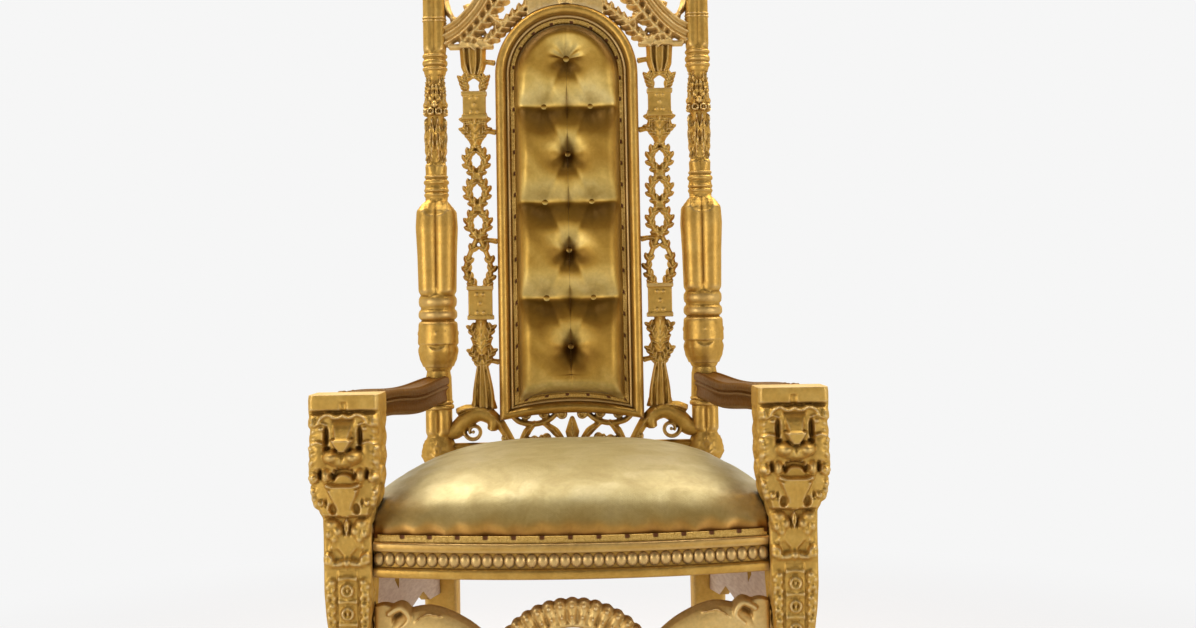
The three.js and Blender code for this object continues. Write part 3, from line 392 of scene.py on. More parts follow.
def giltMaterial(name, body, roughness, glazeAndShading, rubAndHighlightAmount):
    # Gilding: gold leaf and paint over primed wood; edges lightened as rubbed gilding with a painted highlight;
    # umber glaze with painted shade in the hollows and grooves
    material, tree, shader, place = newMaterial(name)
    patches = addNode(tree, "ShaderNodeTexNoise",
                      {"Vector": place, "Scale": 1000 / giltStyle["patch"], "Detail": 3.0, "Roughness": 0.6})
    strokes = addNode(tree, "ShaderNodeTexNoise",
                      {"Vector": place, "Scale": 1000 / giltStyle["stroke"], "Detail": 4.0,
                       "Roughness": 0.65})
    grain = addNode(tree, "ShaderNodeTexNoise", {"Vector": place, "Scale": 1000 / giltStyle["grain"],
                                                 "Detail": 2.0})
    deep, bright = ([*(a * b for a, b in zip(linear(body), giltStyle[key])), 1] for key in ("deep", "bright"))
    tone = rampNode(tree, (patches, "Fac"), [(0.3, deep), (0.5, linear(body)), (0.72, bright)])
    speckle = rampNode(tree, (strokes, "Fac"), [(0.35, (0.86, 0.84, 0.8, 1)), (0.65, white)])
    leaf = addNode(tree, "ShaderNodeMix", {0: 1.0, 6: (tone, "Color"), 7: (speckle, "Color")},
                   data_type="RGBA", blend_type="MULTIPLY")
    # painted shade: hollows found by ambient occlusion and grooves found by pointiness are mixed towards the
    # dark glaze colour
    shade = addNode(tree, "ShaderNodeAmbientOcclusion", {"Distance": giltStyle["crevice"] * mm}, samples=8)
    edges = addNode(tree, "ShaderNodeNewGeometry")
    hollow = rampNode(tree, (shade, "AO"), [(0.3, white), (0.62, (0.42, 0.42, 0.42, 1)), (0.92, black)])
    groove = rampNode(tree, (edges, "Pointiness"), [(0.40, white), (0.485, black)])
    both = addNode(tree, "ShaderNodeMath", {0: (hollow, "Color"), 1: (groove, "Color")}, operation="MAXIMUM")
    uneven = addNode(tree, "ShaderNodeMath", {0: (both, "Value"), 1: (patches, "Fac")}, operation="MULTIPLY")
    glazed = addNode(tree, "ShaderNodeMath", {0: (uneven, "Value"), 1: glazeAndShading}, operation="MULTIPLY",
                     use_clamp=True)
    aged = addNode(tree, "ShaderNodeMix", {0: (glazed, 0), 6: (leaf, 2), 7: linear(giltStyle["glazeAndShade"])},
                   data_type="RGBA")
    # painted highlight: sharp convex edges found by pointiness are mixed towards a pale colour, for rubbed
    # gilding and light catching the edges
    rub = rampNode(tree, (edges, "Pointiness"), [(0.515, black), (0.60, white)])
    rubbedAndHighlight = addNode(tree, "ShaderNodeMath", {0: (rub, "Color"), 1: rubAndHighlightAmount}, operation="MULTIPLY")
    finish = addNode(tree, "ShaderNodeMix", {0: (rubbedAndHighlight, 0), 6: (aged, 2), 7: linear(giltStyle["rubbedAndHighlight"])},
                     data_type="RGBA")
    rough = addNode(tree, "ShaderNodeMapRange", {"Value": (strokes, "Fac"), "From Min": 0.3, "From Max": 0.7,
                                                 "To Min": roughness - 0.07, "To Max": roughness + 0.13})
    dull = addNode(tree, "ShaderNodeMath", {0: (glazed, "Value"), 1: 0.35, 2: (rough, "Result")},
                   operation="MULTIPLY_ADD", use_clamp=True)
    broad = addNode(tree, "ShaderNodeBump", {"Height": (strokes, "Fac"), "Strength": 0.32,
                                             "Distance": 0.0011})
    fine = addNode(tree, "ShaderNodeBump", {"Height": (grain, "Fac"), "Strength": 0.12, "Distance": 0.0003,
                                            "Normal": (broad, "Normal")})
    setSockets(tree, shader, {
        "Metallic": giltStyle["metallic"], "Specular Tint": linear(giltStyle["glance"]),
        "Base Color": (finish, 2), "Roughness": (dull, 0), "Normal": (fine, "Normal"),
    })
    return material


satinStyle = {
    "body": "#B9A468", "bright": "#C8B47C", "deep": "#A99256", "fold": "#86683A",
    "crush": 60, "crinkle": 9, "thread": 1.3,  # mm; real threads are 0.2 mm, drawn coarser so that they show
    "foldReach": 60,                           # mm: how far the painted shade of a fold reaches, found by ambient occlusion
    "metallic": 0.45, "roughness": 0.42,
    "coat": 0.2, "coatRoughness": 0.45, "sheen": 0.2, "sheenRoughness": 0.4, "sheenTint": "#F4E3A6",
}


def satinMaterial(name, glance, lift, tiltShading):
    # Metallic satin: gilt yarn in an olive ground, a soft sheen and crushed patches that turn the light.
    # The tilt stops paint light and shade: their tone is multiplied in by the face's own tilt, as (normal's z,
    # colour) stops
    material, tree, shader, place = newMaterial(name)
    crush = addNode(tree, "ShaderNodeTexNoise", {"Vector": place, "Scale": 1000 / satinStyle["crush"],
                                                 "Detail": 4.0, "Roughness": 0.55, "Distortion": 0.6})
    crinkle = addNode(tree, "ShaderNodeTexNoise", {"Vector": place, "Scale": 1000 / satinStyle["crinkle"],
                                                   "Detail": 3.0, "Distortion": 0.9})
    wave = {"Vector": place, "Scale": 1000 / satinStyle["thread"] / 6.283, "Distortion": 1.2, "Detail": 1.0}
    across, along = (addNode(tree, "ShaderNodeTexWave", wave, bands_direction=way) for way in ("X", "DIAGONAL"))
    weave = addNode(tree, "ShaderNodeMath", {0: (across, "Fac"), 1: (along, "Fac")}, operation="ADD")
    deep, body, bright = (tuple(min(c * lift, 1) for c in linear(satinStyle[key]))
                          for key in ("deep", "body", "bright"))
    tone = rampNode(tree, (crush, "Fac"), [(0.32, deep), (0.5, body), (0.7, bright)])
    nap = rampNode(tree, (crinkle, "Fac"), [(0.35, (0.9, 0.89, 0.86, 1)), (0.65, white)])
    cloth = addNode(tree, "ShaderNodeMix", {0: 1.0, 6: (tone, "Color"), 7: (nap, "Color")},
                    data_type="RGBA", blend_type="MULTIPLY")
    # painted shade: folds and hollows found by ambient occlusion are darkened towards the fold colour
    shade = addNode(tree, "ShaderNodeAmbientOcclusion", {"Distance": satinStyle["foldReach"] * mm}, samples=8)
    folds = rampNode(tree, (shade, "AO"), [(0.25, linear(satinStyle["fold"])), (0.9, white)])
    clothWithPaintedShade = addNode(tree, "ShaderNodeMix", {0: 0.85, 6: (cloth, 2), 7: (folds, "Color")},
                   data_type="RGBA", blend_type="MULTIPLY")
    # painted light and shade: the colour follows how far the face turns up or down
    tilt = addNode(tree, "ShaderNodeSeparateXYZ", {"Vector": (place[0], "Normal")})
    upward = addNode(tree, "ShaderNodeMath", {0: (tilt, "Z"), 1: 0.5, 2: 0.5}, operation="MULTIPLY_ADD")
    tiltShade = rampNode(tree, (upward, "Value"), [(0.5 + z / 2, linear(colour)) for z, colour in tiltShading])
    clothWithPaintedShade = addNode(tree, "ShaderNodeMix", {0: 1.0, 6: (clothWithPaintedShade, 2), 7: (tiltShade, "Color")},
                   data_type="RGBA", blend_type="MULTIPLY")
    rough = addNode(tree, "ShaderNodeMapRange", {"Value": (crush, "Fac"), "From Min": 0.3, "From Max": 0.7,
                                                 "To Min": satinStyle["roughness"] + 0.1,
                                                 "To Max": satinStyle["roughness"] - 0.05})
    soft = addNode(tree, "ShaderNodeBump", {"Height": (crinkle, "Fac"), "Strength": 0.22, "Distance": 0.0012})
    threads = addNode(tree, "ShaderNodeBump", {"Height": (weave, "Value"), "Strength": 0.1,
                                               "Distance": 0.0002,
                                               "Normal": (soft, "Normal")})
    setSockets(tree, shader, {
        "Metallic": satinStyle["metallic"], "Specular Tint": linear(glance),
        "Coat Weight": satinStyle["coat"], "Coat Roughness": satinStyle["coatRoughness"],
        "Sheen Weight": satinStyle["sheen"], "Sheen Roughness": satinStyle["sheenRoughness"],
        "Sheen Tint": linear(satinStyle["sheenTint"]),
        "Base Color": (clothWithPaintedShade, 2), "Roughness": (rough, "Result"), "Normal": (threads, "Normal"),
    })
    return material


def braidMaterial(name):
    # Gimp braid: gilt thread over cotton, its cords standing bright above notches darkened with painted shade
    material, tree, shader, place = newMaterial(name)
    # noise cells of 1.1 mm, the width of a gilt thread
    threads = addNode(tree, "ShaderNodeTexNoise", {"Vector": place, "Scale": 900.0, "Detail": 2.0})
    tone = rampNode(tree, (threads, "Fac"), [(0.35, linear("#B08430")), (0.65, linear("#E6C06A"))])
    # 1 where a tack draws the braid in; painted shade darkens the braid there
    tacked = addNode(tree, "ShaderNodeAttribute", attribute_name="tacked")
    notch = rampNode(tree, (tacked, "Fac"), [(0.15, white), (0.8, linear("#7A5420"))])
    cloth = addNode(tree, "ShaderNodeMix", {0: 1.0, 6: (tone, "Color"), 7: (notch, "Color")},
                    data_type="RGBA", blend_type="MULTIPLY")
    fibres = addNode(tree, "ShaderNodeBump", {"Height": (threads, "Fac"), "Strength": 0.35,
                                              "Distance": 0.0004})
    setSockets(tree, shader, {"Metallic": 0.45, "Roughness": 0.52, "Base Color": (cloth, 2),
                              "Normal": (fibres, "Normal")})
    return material


def bareWoodMaterial(name, pale, dark):
    # Sawn hardwood without gilding: dry, dull, streaked along the grain and soaked with a thin wash
    material, tree, shader, place = newMaterial(name)
    drawn = addNode(tree, "ShaderNodeMapping", {"Vector": place, "Scale": (55, 9, 55)})  # grain 6 mm by 37 mm
    streaks = addNode(tree, "ShaderNodeTexNoise", {"Vector": (drawn, "Vector"), "Scale": 3.0, "Detail": 6.0,
                                                   "Roughness": 0.65, "Distortion": 0.4})
    tone = rampNode(tree, (streaks, "Fac"), [(0.3, linear(dark)), (0.7, linear(pale))])
    saw = addNode(tree, "ShaderNodeBump", {"Height": (streaks, "Fac"), "Strength": 0.4, "Distance": 0.0006})
    setSockets(tree, shader, {"Roughness": 0.82, "Base Color": (tone, "Color"), "Normal": (saw, "Normal")})
    return material


giltCarved = giltMaterial("gilded carved wood, burnished and glazed", giltStyle["body"], 0.45, 1.35, 0.5)
# painted light: a paler, less glazed copy of the gilding makes the crest and apron look more brightly lit
giltPaintedLight = giltMaterial("gilded carved wood, painted lighter on the crest and apron", "#ECC77E", 0.45, 0.95, 0.5)
giltPlain = giltMaterial("gilded moulding, burnished", "#D2A552", 0.37, 1.25, 0.5)
giltSide = giltMaterial("gilded wood, matt on the hidden sides", "#C29A50", 0.48, 1.3, 0.06)
# painted shade: the arms' gilding is darkened to stand in for shade and dark reflections on them
giltArmShaded = giltMaterial("gilded wood, arms darkened with painted shade", "#7C5420", 0.36, 1.5, 0.3)
# tilt stops: the cushion is painted warmer and darker low down and paler on top; the back pad is painted light
# on faces turned down and shade on faces turned up
satin = satinMaterial("metallic satin, olive gold", "#FFF6E0", 1.0, [
    (-0.1, "#FFCB7A"), (0.2, "#FFD894"), (0.42, "#F8EAD0"), (0.75, "#EEF2FF"), (1, "#EEF2FF")])
tiltShadedSatin = satinMaterial("metallic satin, olive gold, light and shade painted by tilt", "#D8A848", 1.52, [
    (-0.42, "#FFFFF8"), (-0.14, "#FFF3CE"), (0.05, "#DFC486"), (0.2, "#AA8A4A"), (0.5, "#7C6228")])
braid = braidMaterial("gilt gimp braid")
rawBoard = bareWoodMaterial("sawn hardwood, unfinished", "#A98361", "#7B5A3F")
# painted light: the wash is made paler to offset the shade that falls on the side aprons' inner faces under the
# rail
litWashedWood = bareWoodMaterial("sawn hardwood under a thin rose-grey wash", "#EED6BC", "#CFAF92")
print("materials ready")


# Sections of carved work: heights from 0 at the back to 1 at the front, for shares across and along

def flatBar(share, t):
    # flat, eased down at both edges by the eighth power of the share
    return 1 - 0.3 * np.abs(share) ** 8 + 0 * t


def scrollBand(share, t):
    # two rolled rims, a hollow between them and a slim rib down the middle
    rims = 0.36 * np.exp(-((np.abs(share) - 0.74) / 0.15) ** 2)
    rib = 0.3 * np.exp(-(share / 0.2) ** 2)
    return (0.62 + rims + rib) * (1 - 0.35 * np.abs(share) ** 10) + 0 * t


def leafBlade(share, t):
    # a ridge with hollow flanks, and slanted veins
    veins = 0.07 * np.cos(2 * math.pi * (5 * t - 1.4 * np.abs(share)))
    return 0.34 + 0.66 * (1 - np.abs(share)) ** 0.8 + veins * (1 - np.abs(share))


def roundStem(share, t):
    # half round over a base: the root of 1 less the share squared
    return 0.35 + 0.65 * np.sqrt(np.clip(1 - share ** 2, 0, 1)) + 0 * t


def strand(line, widths, section, front, back, steps=26, across=11, taper=0.06):
    # a section carried along a smooth line in the x-z plane, its ends drawn in over the taper
    place, way = alongSpline(line, steps)
    t = np.linspace(0, 1, steps + 1)[:, None]
    share = np.linspace(-1, 1, across)[None, :]
    half = np.interp(t, np.linspace(0, 1, len(widths)), widths) / 2
    half = half * np.sqrt(np.clip(1 - np.clip(1 - np.minimum(t, 1 - t) / taper, 0, 1) ** 2, 0.05, 1))
    x = place[:, :1] - way[:, 1:] * half * share
    z = place[:, 1:] + way[:, :1] * half * share
    y = back + (front - back) * section(share, t) + 0 * x
    face = np.stack([x, y, z], -1)
    behind = face[:, [-1, 0]].copy()
    behind[..., 1] = back
    return skin(np.concatenate([face, behind], 1))


def leavesAlong(line, shares, length, wide, front, back, hands=(1, -1), lean=52):
    # a leaf on either hand of the line at each share of it, leaning forward from the line's own direction
    place, way = alongSpline(line, 200)
    shapes = []
    for share in shares:
        start, along = place[int(share * 200)], way[int(share * 200)]
        for hand in hands:
            side = np.array([-along[1], along[0]]) * hand
            out = along * math.cos(math.radians(lean)) + side * math.sin(math.radians(lean))
            curl = along * length * 0.16
            spots = [start - out * 1.5, start + out * length * 0.45 + curl * 0.2, start + out * length + curl]
            shapes.append(strand(spots, [3, wide, wide * 0.92, 2.4], leafBlade, front, back, steps=12,
                                 taper=0.14))
    return shapes


def bothHands(makeOne, spots, *rest, **more):
    # the same strand on the right and, mirrored, on the left
    right = makeOne(spots, *rest, **more)
    return [right, mirrored(right)]


def boxShape(xLow, xHigh, yLow, yHigh, zLow, zHigh):
    # four corners as a ring, at two heights
    ring = np.array([[xLow, yLow], [xHigh, yLow], [xHigh, yHigh], [xLow, yHigh]], float)
    rows = np.stack([np.column_stack([ring, np.full(4, z)]) for z in (zLow, zHigh)])
    return skin(rows)


def domeShape(middle, radii, rings=5, around=10):
    # an ellipsoid from latitude rings; the poles are closed by the fans
    polar = np.linspace(0.12, math.pi - 0.12, rings)[:, None]
    turn = np.linspace(0, 2 * math.pi, around, endpoint=False)[None, :]
    ball = np.stack([np.sin(polar) * np.cos(turn), np.sin(polar) * np.sin(turn), np.cos(polar) + 0 * turn],
                    -1)
    return skin(ball * radii + middle)


def volute(middle, start, end, turns, hand, startAngle, width, section, front, back):
    # a scroll's eye: a strand whose radius shrinks evenly from start to end
    angle = startAngle + hand * np.linspace(0, turns * 2 * math.pi, 9 + int(turns * 8))
    radius = np.linspace(start, end, len(angle))
    line = np.column_stack([middle[0] + radius * np.cos(angle), middle[1] + radius * np.sin(angle)])
    return strand(line, width, section, front, back, steps=len(angle) * 2, across=7)


# Front legs: lion's head, leg and paw in one

legStyle = {
    "headOffset": 2, "headFoot": 513, "headPitch": 1.35, "legPitch": 2.5,
    "frontPoints": 70, "sidePoints": 26, "backPoints": 14,
    "firstBoss": -298, "bossPitch": 35.5, "bossCount": 4,
}


def lionHead(x, t):
    # the face's rise from its block: a mask, then its planes and mounds blended in, then its hollows
    x, t = x + 0 * t, t + 0 * x
    across = np.abs(x)
    slab = 8.0 * ease(-27, -22, t)
    notch = 3.5 * ease(6, 3, across) * ease(-9, -13, t) * ease(-29, -26, t)
    wide = np.interp(t, [-190, -178, -160, -120, -30], [38, 41, 48, 53, 54])
    span = ease(-27, -32, t) * ease(-189, -181, t)
    mask = (9 + 6 * (1 - (x / 56) ** 2)) * ease(wide, wide - 7, across) * span
    raised = [
        cord(across, t, [[0, -31], [10, -35], [21, -30], [31, -33], [37, -41]], 4.2, 19),   # brow
        mound(across, t, (33, -51), (9, 6.5), 17), cord(across, t, [[24, -45], [33, -42], [44, -47]], 3, 18),
        mound(across, t, (37, -92), (17, 32), 20),                                          # cheek
        cord(across, t, [[31, -73], [39, -71], [48, -74]], 3.4, 20), mound(across, t, (46, -42), (9, 12), 17),
        mound(across, t, (16, -93), (17, 12.5), 37), mound(x, t, (0, -97), (30, 15), 30),   # muzzle
        # corners of the mouth
        mound(across, t, (26, -122), (10, 15), 24),
        cord(across, t, [[0, -139], [14, -139], [24, -136]], 5.5, 28),                      # lower lip
        mound(across, t, (45, -125), (11.5, 12), 23), mound(across, t, (36, -163), (9, 9), 20),  # curls
        cord(across, t, [[50, -80], [47, -96], [52, -112]], 4, 18),
        cord(across, t, [[52, -140], [47, -150], [44, -172]], 4, 16),
    ]
    rise = mask
    for part in raised:
        rise = np.where(part > 0, np.maximum(rise, part), rise)
    bridge = np.clip((-38 - t) / 30, 0, 1)
    flank = mix(17, 10.5, bridge)
    plane = mix(9, 33, bridge) * ease(flank + 2, flank - 1, across)
    rise = np.where((t <= -37) & (t > -69), mix(rise, np.maximum(plane, 9),
                                                ease(flank + 2, flank - 1, across)), rise)
    nose = np.clip((-67 - t) / 17, 0, 1)
    wing = mix(17, 7, nose)
    tip = np.maximum(rise, (mix(36, 31, nose) - 0.1 * across) * ease(wing + 2, wing - 1, across))
    rise = np.where((t <= -66) & (t > -85), tip, rise)
    beard = np.clip((-143 - t) / 42, 0, 1)
    locks = 1.2 * np.abs(np.cos(x * 0.3 + t * 0.03))
    edge = mix(24, 6, beard)
    chin = (mix(27, 14, beard) - locks) * ease(edge + 2, edge - 1, across)
    rise = np.where((t <= -142) & (t > -187), np.maximum(rise, chin), rise)
    cavity = mound(x, t, (0, -121), (20, 12), 1) > 0
    tongue = np.maximum(mound(x, t, (0, -131), (16, 13), 27), 4)
    teeth = np.maximum(mound(across, t, (3.6, -110), (3.2, 3), 25),
                       mound(across, t, (10, -111), (3, 3.2), 25))
    teeth = np.maximum(teeth, mound(across, t, (16, -115), (2.4, 6), 26))
    rise = np.where(cavity, np.minimum(rise, np.maximum(tongue, teeth)), rise)
    hollows = [
        ((25.5, -62), (3.6, 16), 13), ((24, -81), (5.5, 3.6), 9), ((9.5, -83), (3.2, 2.6), 7),
        ((18, -173), (6, 9), 10),
        ((0, -94), (1.5, 9), 5), ((0, -27), (17, 2.2), 6), ((35.5, -119), (3, 9), 8),
        ((27.5, -163), (2, 8), 5),
    ]
    for middle, radii, depth in hollows:
        rise = rise - mound(across, t, middle, radii, depth)
    rise = rise - cord(across, t, [[38, -131], [46, -134], [51, -127], [49, -119], [43, -120], [43, -126]],
                       1.5, 4)
    rise = rise - cord(across, t, [[31, -168], [37, -169], [41, -163], [38, -158], [34, -160], [35, -164]],
                       1.3, 3.5)
    mane = 1.5 * np.cos(t * 0.55 + across * 0.25) * ease(38, 46, across) * ease(-34, -44, t)
    whiskers = np.cos(across * 1.05) * np.cos(t * 1.3 + 1) > 0.72
    whiskers = 0.8 * whiskers * (mound(across, t, (17, -93), (11, 7), 1) > 0)
    fine = (mane - whiskers) * ease(-27, -34, t) * ease(-189, -181, t)
    return slab * (t > -27) + np.where(t > -27, 0, rise) + fine - notch


def legCarving(x, t):
    # leaf lobes, a plain tongue, a curled band, then bosses on a strap between leaves
    x, t = x + 0 * t, t + 0 * x
    across = np.abs(x)
    rise = np.zeros_like(x)
    tongue = np.clip((-212 - t) / 36, 0, 1)
    edge = mix(35, 3, tongue)
    rise = np.where((t < -212) & (t > -250), 4.5 * ease(edge + 1, edge - 1, across), rise)
    first, pitch, count = legStyle["firstBoss"], legStyle["bossPitch"], legStyle["bossCount"]
    last = first - pitch * (count - 0.45)
    parts = [
        mound(across, t, (23, -197), (11, 10), 14), mound(across, t, (14, -207), (9, 10), 13),
        mound(across, t, (27, -211), (8, 9), 12), mound(across, t, (19, -219), (7, 8), 10),
        leafOn(x, t, (0, -188), (0, -216), 6, 12, 3), mound(across, t, (33, -201), (5, 8), 9),
        leafOn(across, t, (8, -226), (30, -236), 6, 6, 3),
        cord(x, t, [[-30, -250], [-18, -258], [0, -255], [18, -258], [30, -250]], 6, 10),
        mound(x, t, (0, -255), (8, 8), 13), ringOn(across, t, (29, -250), 6, 3.4, 12),
        mound(across, t, (29, -250), (2.8, 2.8), 11),
        cord(across, t, [[36, -262], [30, -264], [24, -262]], 3, 6),
    ]
    for step in range(count):
        middle = first - pitch * step
        parts += [
            ringOn(x, t, (0, middle), 8, 3.4, 9.5), mound(x, t, (0, middle), (3.6, 3.6), 9),
            cord(x, t, [[-13, middle + pitch / 2], [0, middle + pitch / 2 + 1.5],
                        [13, middle + pitch / 2]], 3.2, 7.5),
            mound(across, t, (24, middle + 12), (7, 6), 7.5), mound(across, t, (30, middle + 5), (6, 6), 6.5),
            mound(across, t, (22, middle + 2), (5, 5), 6), mound(across, t, (27, middle - 6), (7, 5.5), 7),
            mound(across, t, (21, middle - 12), (4.5, 5), 6),
            mound(across, t, (32, middle - 14), (4.5, 5), 5.5),
        ]
    for part in parts:
        rise = np.maximum(rise, part)
    strap = (across < 14.5) & (t < -267) & (t > last)
    rise = np.where(strap, np.maximum(rise, 2.2), rise)
    rise = rise - 3.4 * ease(-269, -265.5, t) * ease(-261, -264, t)
    rise = rise - 2.6 * np.exp(-((across - 16.5) / 1.5) ** 2) * (t < -268) * (t > last)
    knee = leafOn(x, t, (0, last - 6), (0, last - 118), 21, 7.5, 6)
    side = leafOn(across, t, (12, last - 4), (25, last - 70), 9, 6, 4)
    return np.maximum(rise, np.maximum(knee, side))


def pawCarving(x, z):
    # four toes parted by grooves, knuckles and a blunt claw on each; locks of hair over the ankle
    pitch = 23.5
    toe = np.abs((np.abs(x) % pitch) - pitch / 2)
    rise = -9 * ease(7, pitch / 2, toe) * ease(70, 52, z)
    rise = np.maximum(rise, rise + mound(toe, z, (0, 47), (10, 14), 6))
    rise = rise + mound(toe, z, (0, 11), (4.6, 11), 6)
    locks = 3.2 * np.abs(np.sin(x * 0.26 + 0.6 * np.sin(z * 0.12))) * ease(66, 78, z) * ease(142, 112, z)
    return rise + locks


def legSides(y, t, z):
    # mane locks on the head, sunk leaf panels on the leg; never prouder than the block
    wave = np.abs(np.sin((t * 0.9 + 9 * np.sin((y + 6) / 11)) / 8.5))
    mane = -5 + 5 * wave
    mane = np.maximum(mane, ringOn(y, t, (-22, -124), 11, 5, 6) - 3)
    mane = np.maximum(mane, ringOn(y, t, (4, -92), 9, 4.5, 6) - 4)
    mane = mane * ease(-28, -36, t) * ease(-188, -178, t)
    pitch = legStyle["bossPitch"]
    start = legStyle["firstBoss"] + pitch * 2
    middle = start - pitch * np.round((start - t) / pitch)
    left, right = (leafOn(y, t - middle, (hand * 2, 15), (hand * 22, -12), 8, 4, 3) for hand in (-1, 1))
    leaf = np.maximum(np.maximum(left, right), mound(y, t - middle, (0, -12), (5, 6), 4))
    panel = (-3.4 + leaf) * ease(30, 27, np.abs(y)) * ease(-196, -202, t) * ease(210, 226, z)
    return mane + panel


def frontLeg(side):
    # rings of a rounded oblong up the leg, each point pushed out along its normal by the carving
    style = legStyle
    stations = np.array([
        [0, 44, 65, 35], [14, 47, 70, 38], [40, 47, 68, 38], [66, 41, 56, 38], [86, 33, 42, 34],
        [120, 26, 28, 30],
        [188, 25, 24, 29], [250, 27, 28, 30], [322, 31, 35, 33], [360, 35, 39, 36], [398, 37, 41, 38],
        [487, 37, 38, 38], [511, 38, 36, 38], [521, 44, 37, 38], [534, 49, 38, 38], [555, 53, 38, 38],
        [600, 55, 38, 38], [682, 55, 38, 38], [695, 55, 38, 38], [699, 53.5, 37, 37],
    ])
    heights = np.concatenate([np.arange(0, style["headFoot"] - 8, style["legPitch"]),
                              np.arange(style["headFoot"] - 8, armTop, style["headPitch"]), [armTop]])
    around = np.array([-3, 0, 3])
    half, front, back = (np.interp(heights[:, None] + around, stations[:, 0], stations[:, k]).mean(1)[:, None]
                         for k in (1, 2, 3))
    z = heights[:, None]
    t = z - armTop
    wide = np.linspace(-1, 1, style["frontPoints"])
    deep = np.linspace(-1, 1, style["sidePoints"])[1:-1]
    rear = np.linspace(1, -1, style["backPoints"])
    a = np.concatenate([wide, np.ones_like(deep), rear, -np.ones_like(deep)])[None, :]
    b = np.concatenate([-np.ones_like(wide), deep, np.ones_like(rear), -deep])[None, :]
    x, y = a * half, np.where(b < 0, b * front, b * back)
    radius = np.interp(z, [0, 66, 90, 500, 530, 699], [13, 13, 9, 5, 7, 5])
    innerX, innerY = np.clip(x, radius - half, half - radius), np.clip(y, radius - front, back - radius)
    offX, offY = x - innerX, y - innerY
    length = np.maximum(np.hypot(offX, offY), 1e-6)
    normalX, normalY = offX / length, offY / length
    face = lionHead(x, t) * ease(-192, -184, t) + legCarving(x, t) * ease(-184, -190, t)
    face = face + pawCarving(x, z + 0 * x)
    face = blurred(face * (0.2 + 0.8 * ease(half, half - 7, np.abs(x))), 1)
    flank = blurred(legSides(y, t + 0 * y, z), 1, wrap=True)
    rise = face * np.clip(-normalY, 0, 1) ** 2 + flank * normalX ** 2
    middle = style["headOffset"] * ease(-190, -170, t)
    rows = np.stack([side * (legX + middle) + innerX + normalX * (radius + rise),
                     legY + innerY + normalY * (radius + rise), z + 0 * x], -1)
    return skin(rows)


addBoth("lion_leg_", "front_leg_lion_", frontLeg, giltCarved)
print("lion legs carved")


# Back posts

postStyle = {
    "footHalf": 29, "legHalf": 34, "column": 25, "acorn": 39.5, "collar": 38, "bulb": 39, "shaft": 22,
    "legTop": 520, "acornTop": 803, "bulbFoot": 866, "bulbTop": 1046, "neckTop": 1087,
    "spindleTop": 1299, "bandTop": 1338, "shoulder": 1505, "top": 1640,
    "around": 80,
}


def postSection(form, angle, half):
    # square: a high power oval; round: a circle; reeded: four rounds set off the middle, as a clover
    c, s = np.abs(np.cos(angle)), np.abs(np.sin(angle))
    if form == "square":
        return half / (c ** 16 + s ** 16) ** (1 / 16)
    if form == "reeded":
        offset = 0.42 * half
        return offset * (c + s) + np.sqrt((half - offset) ** 2 - (offset * (c - s)) ** 2)
    return half + 0 * angle


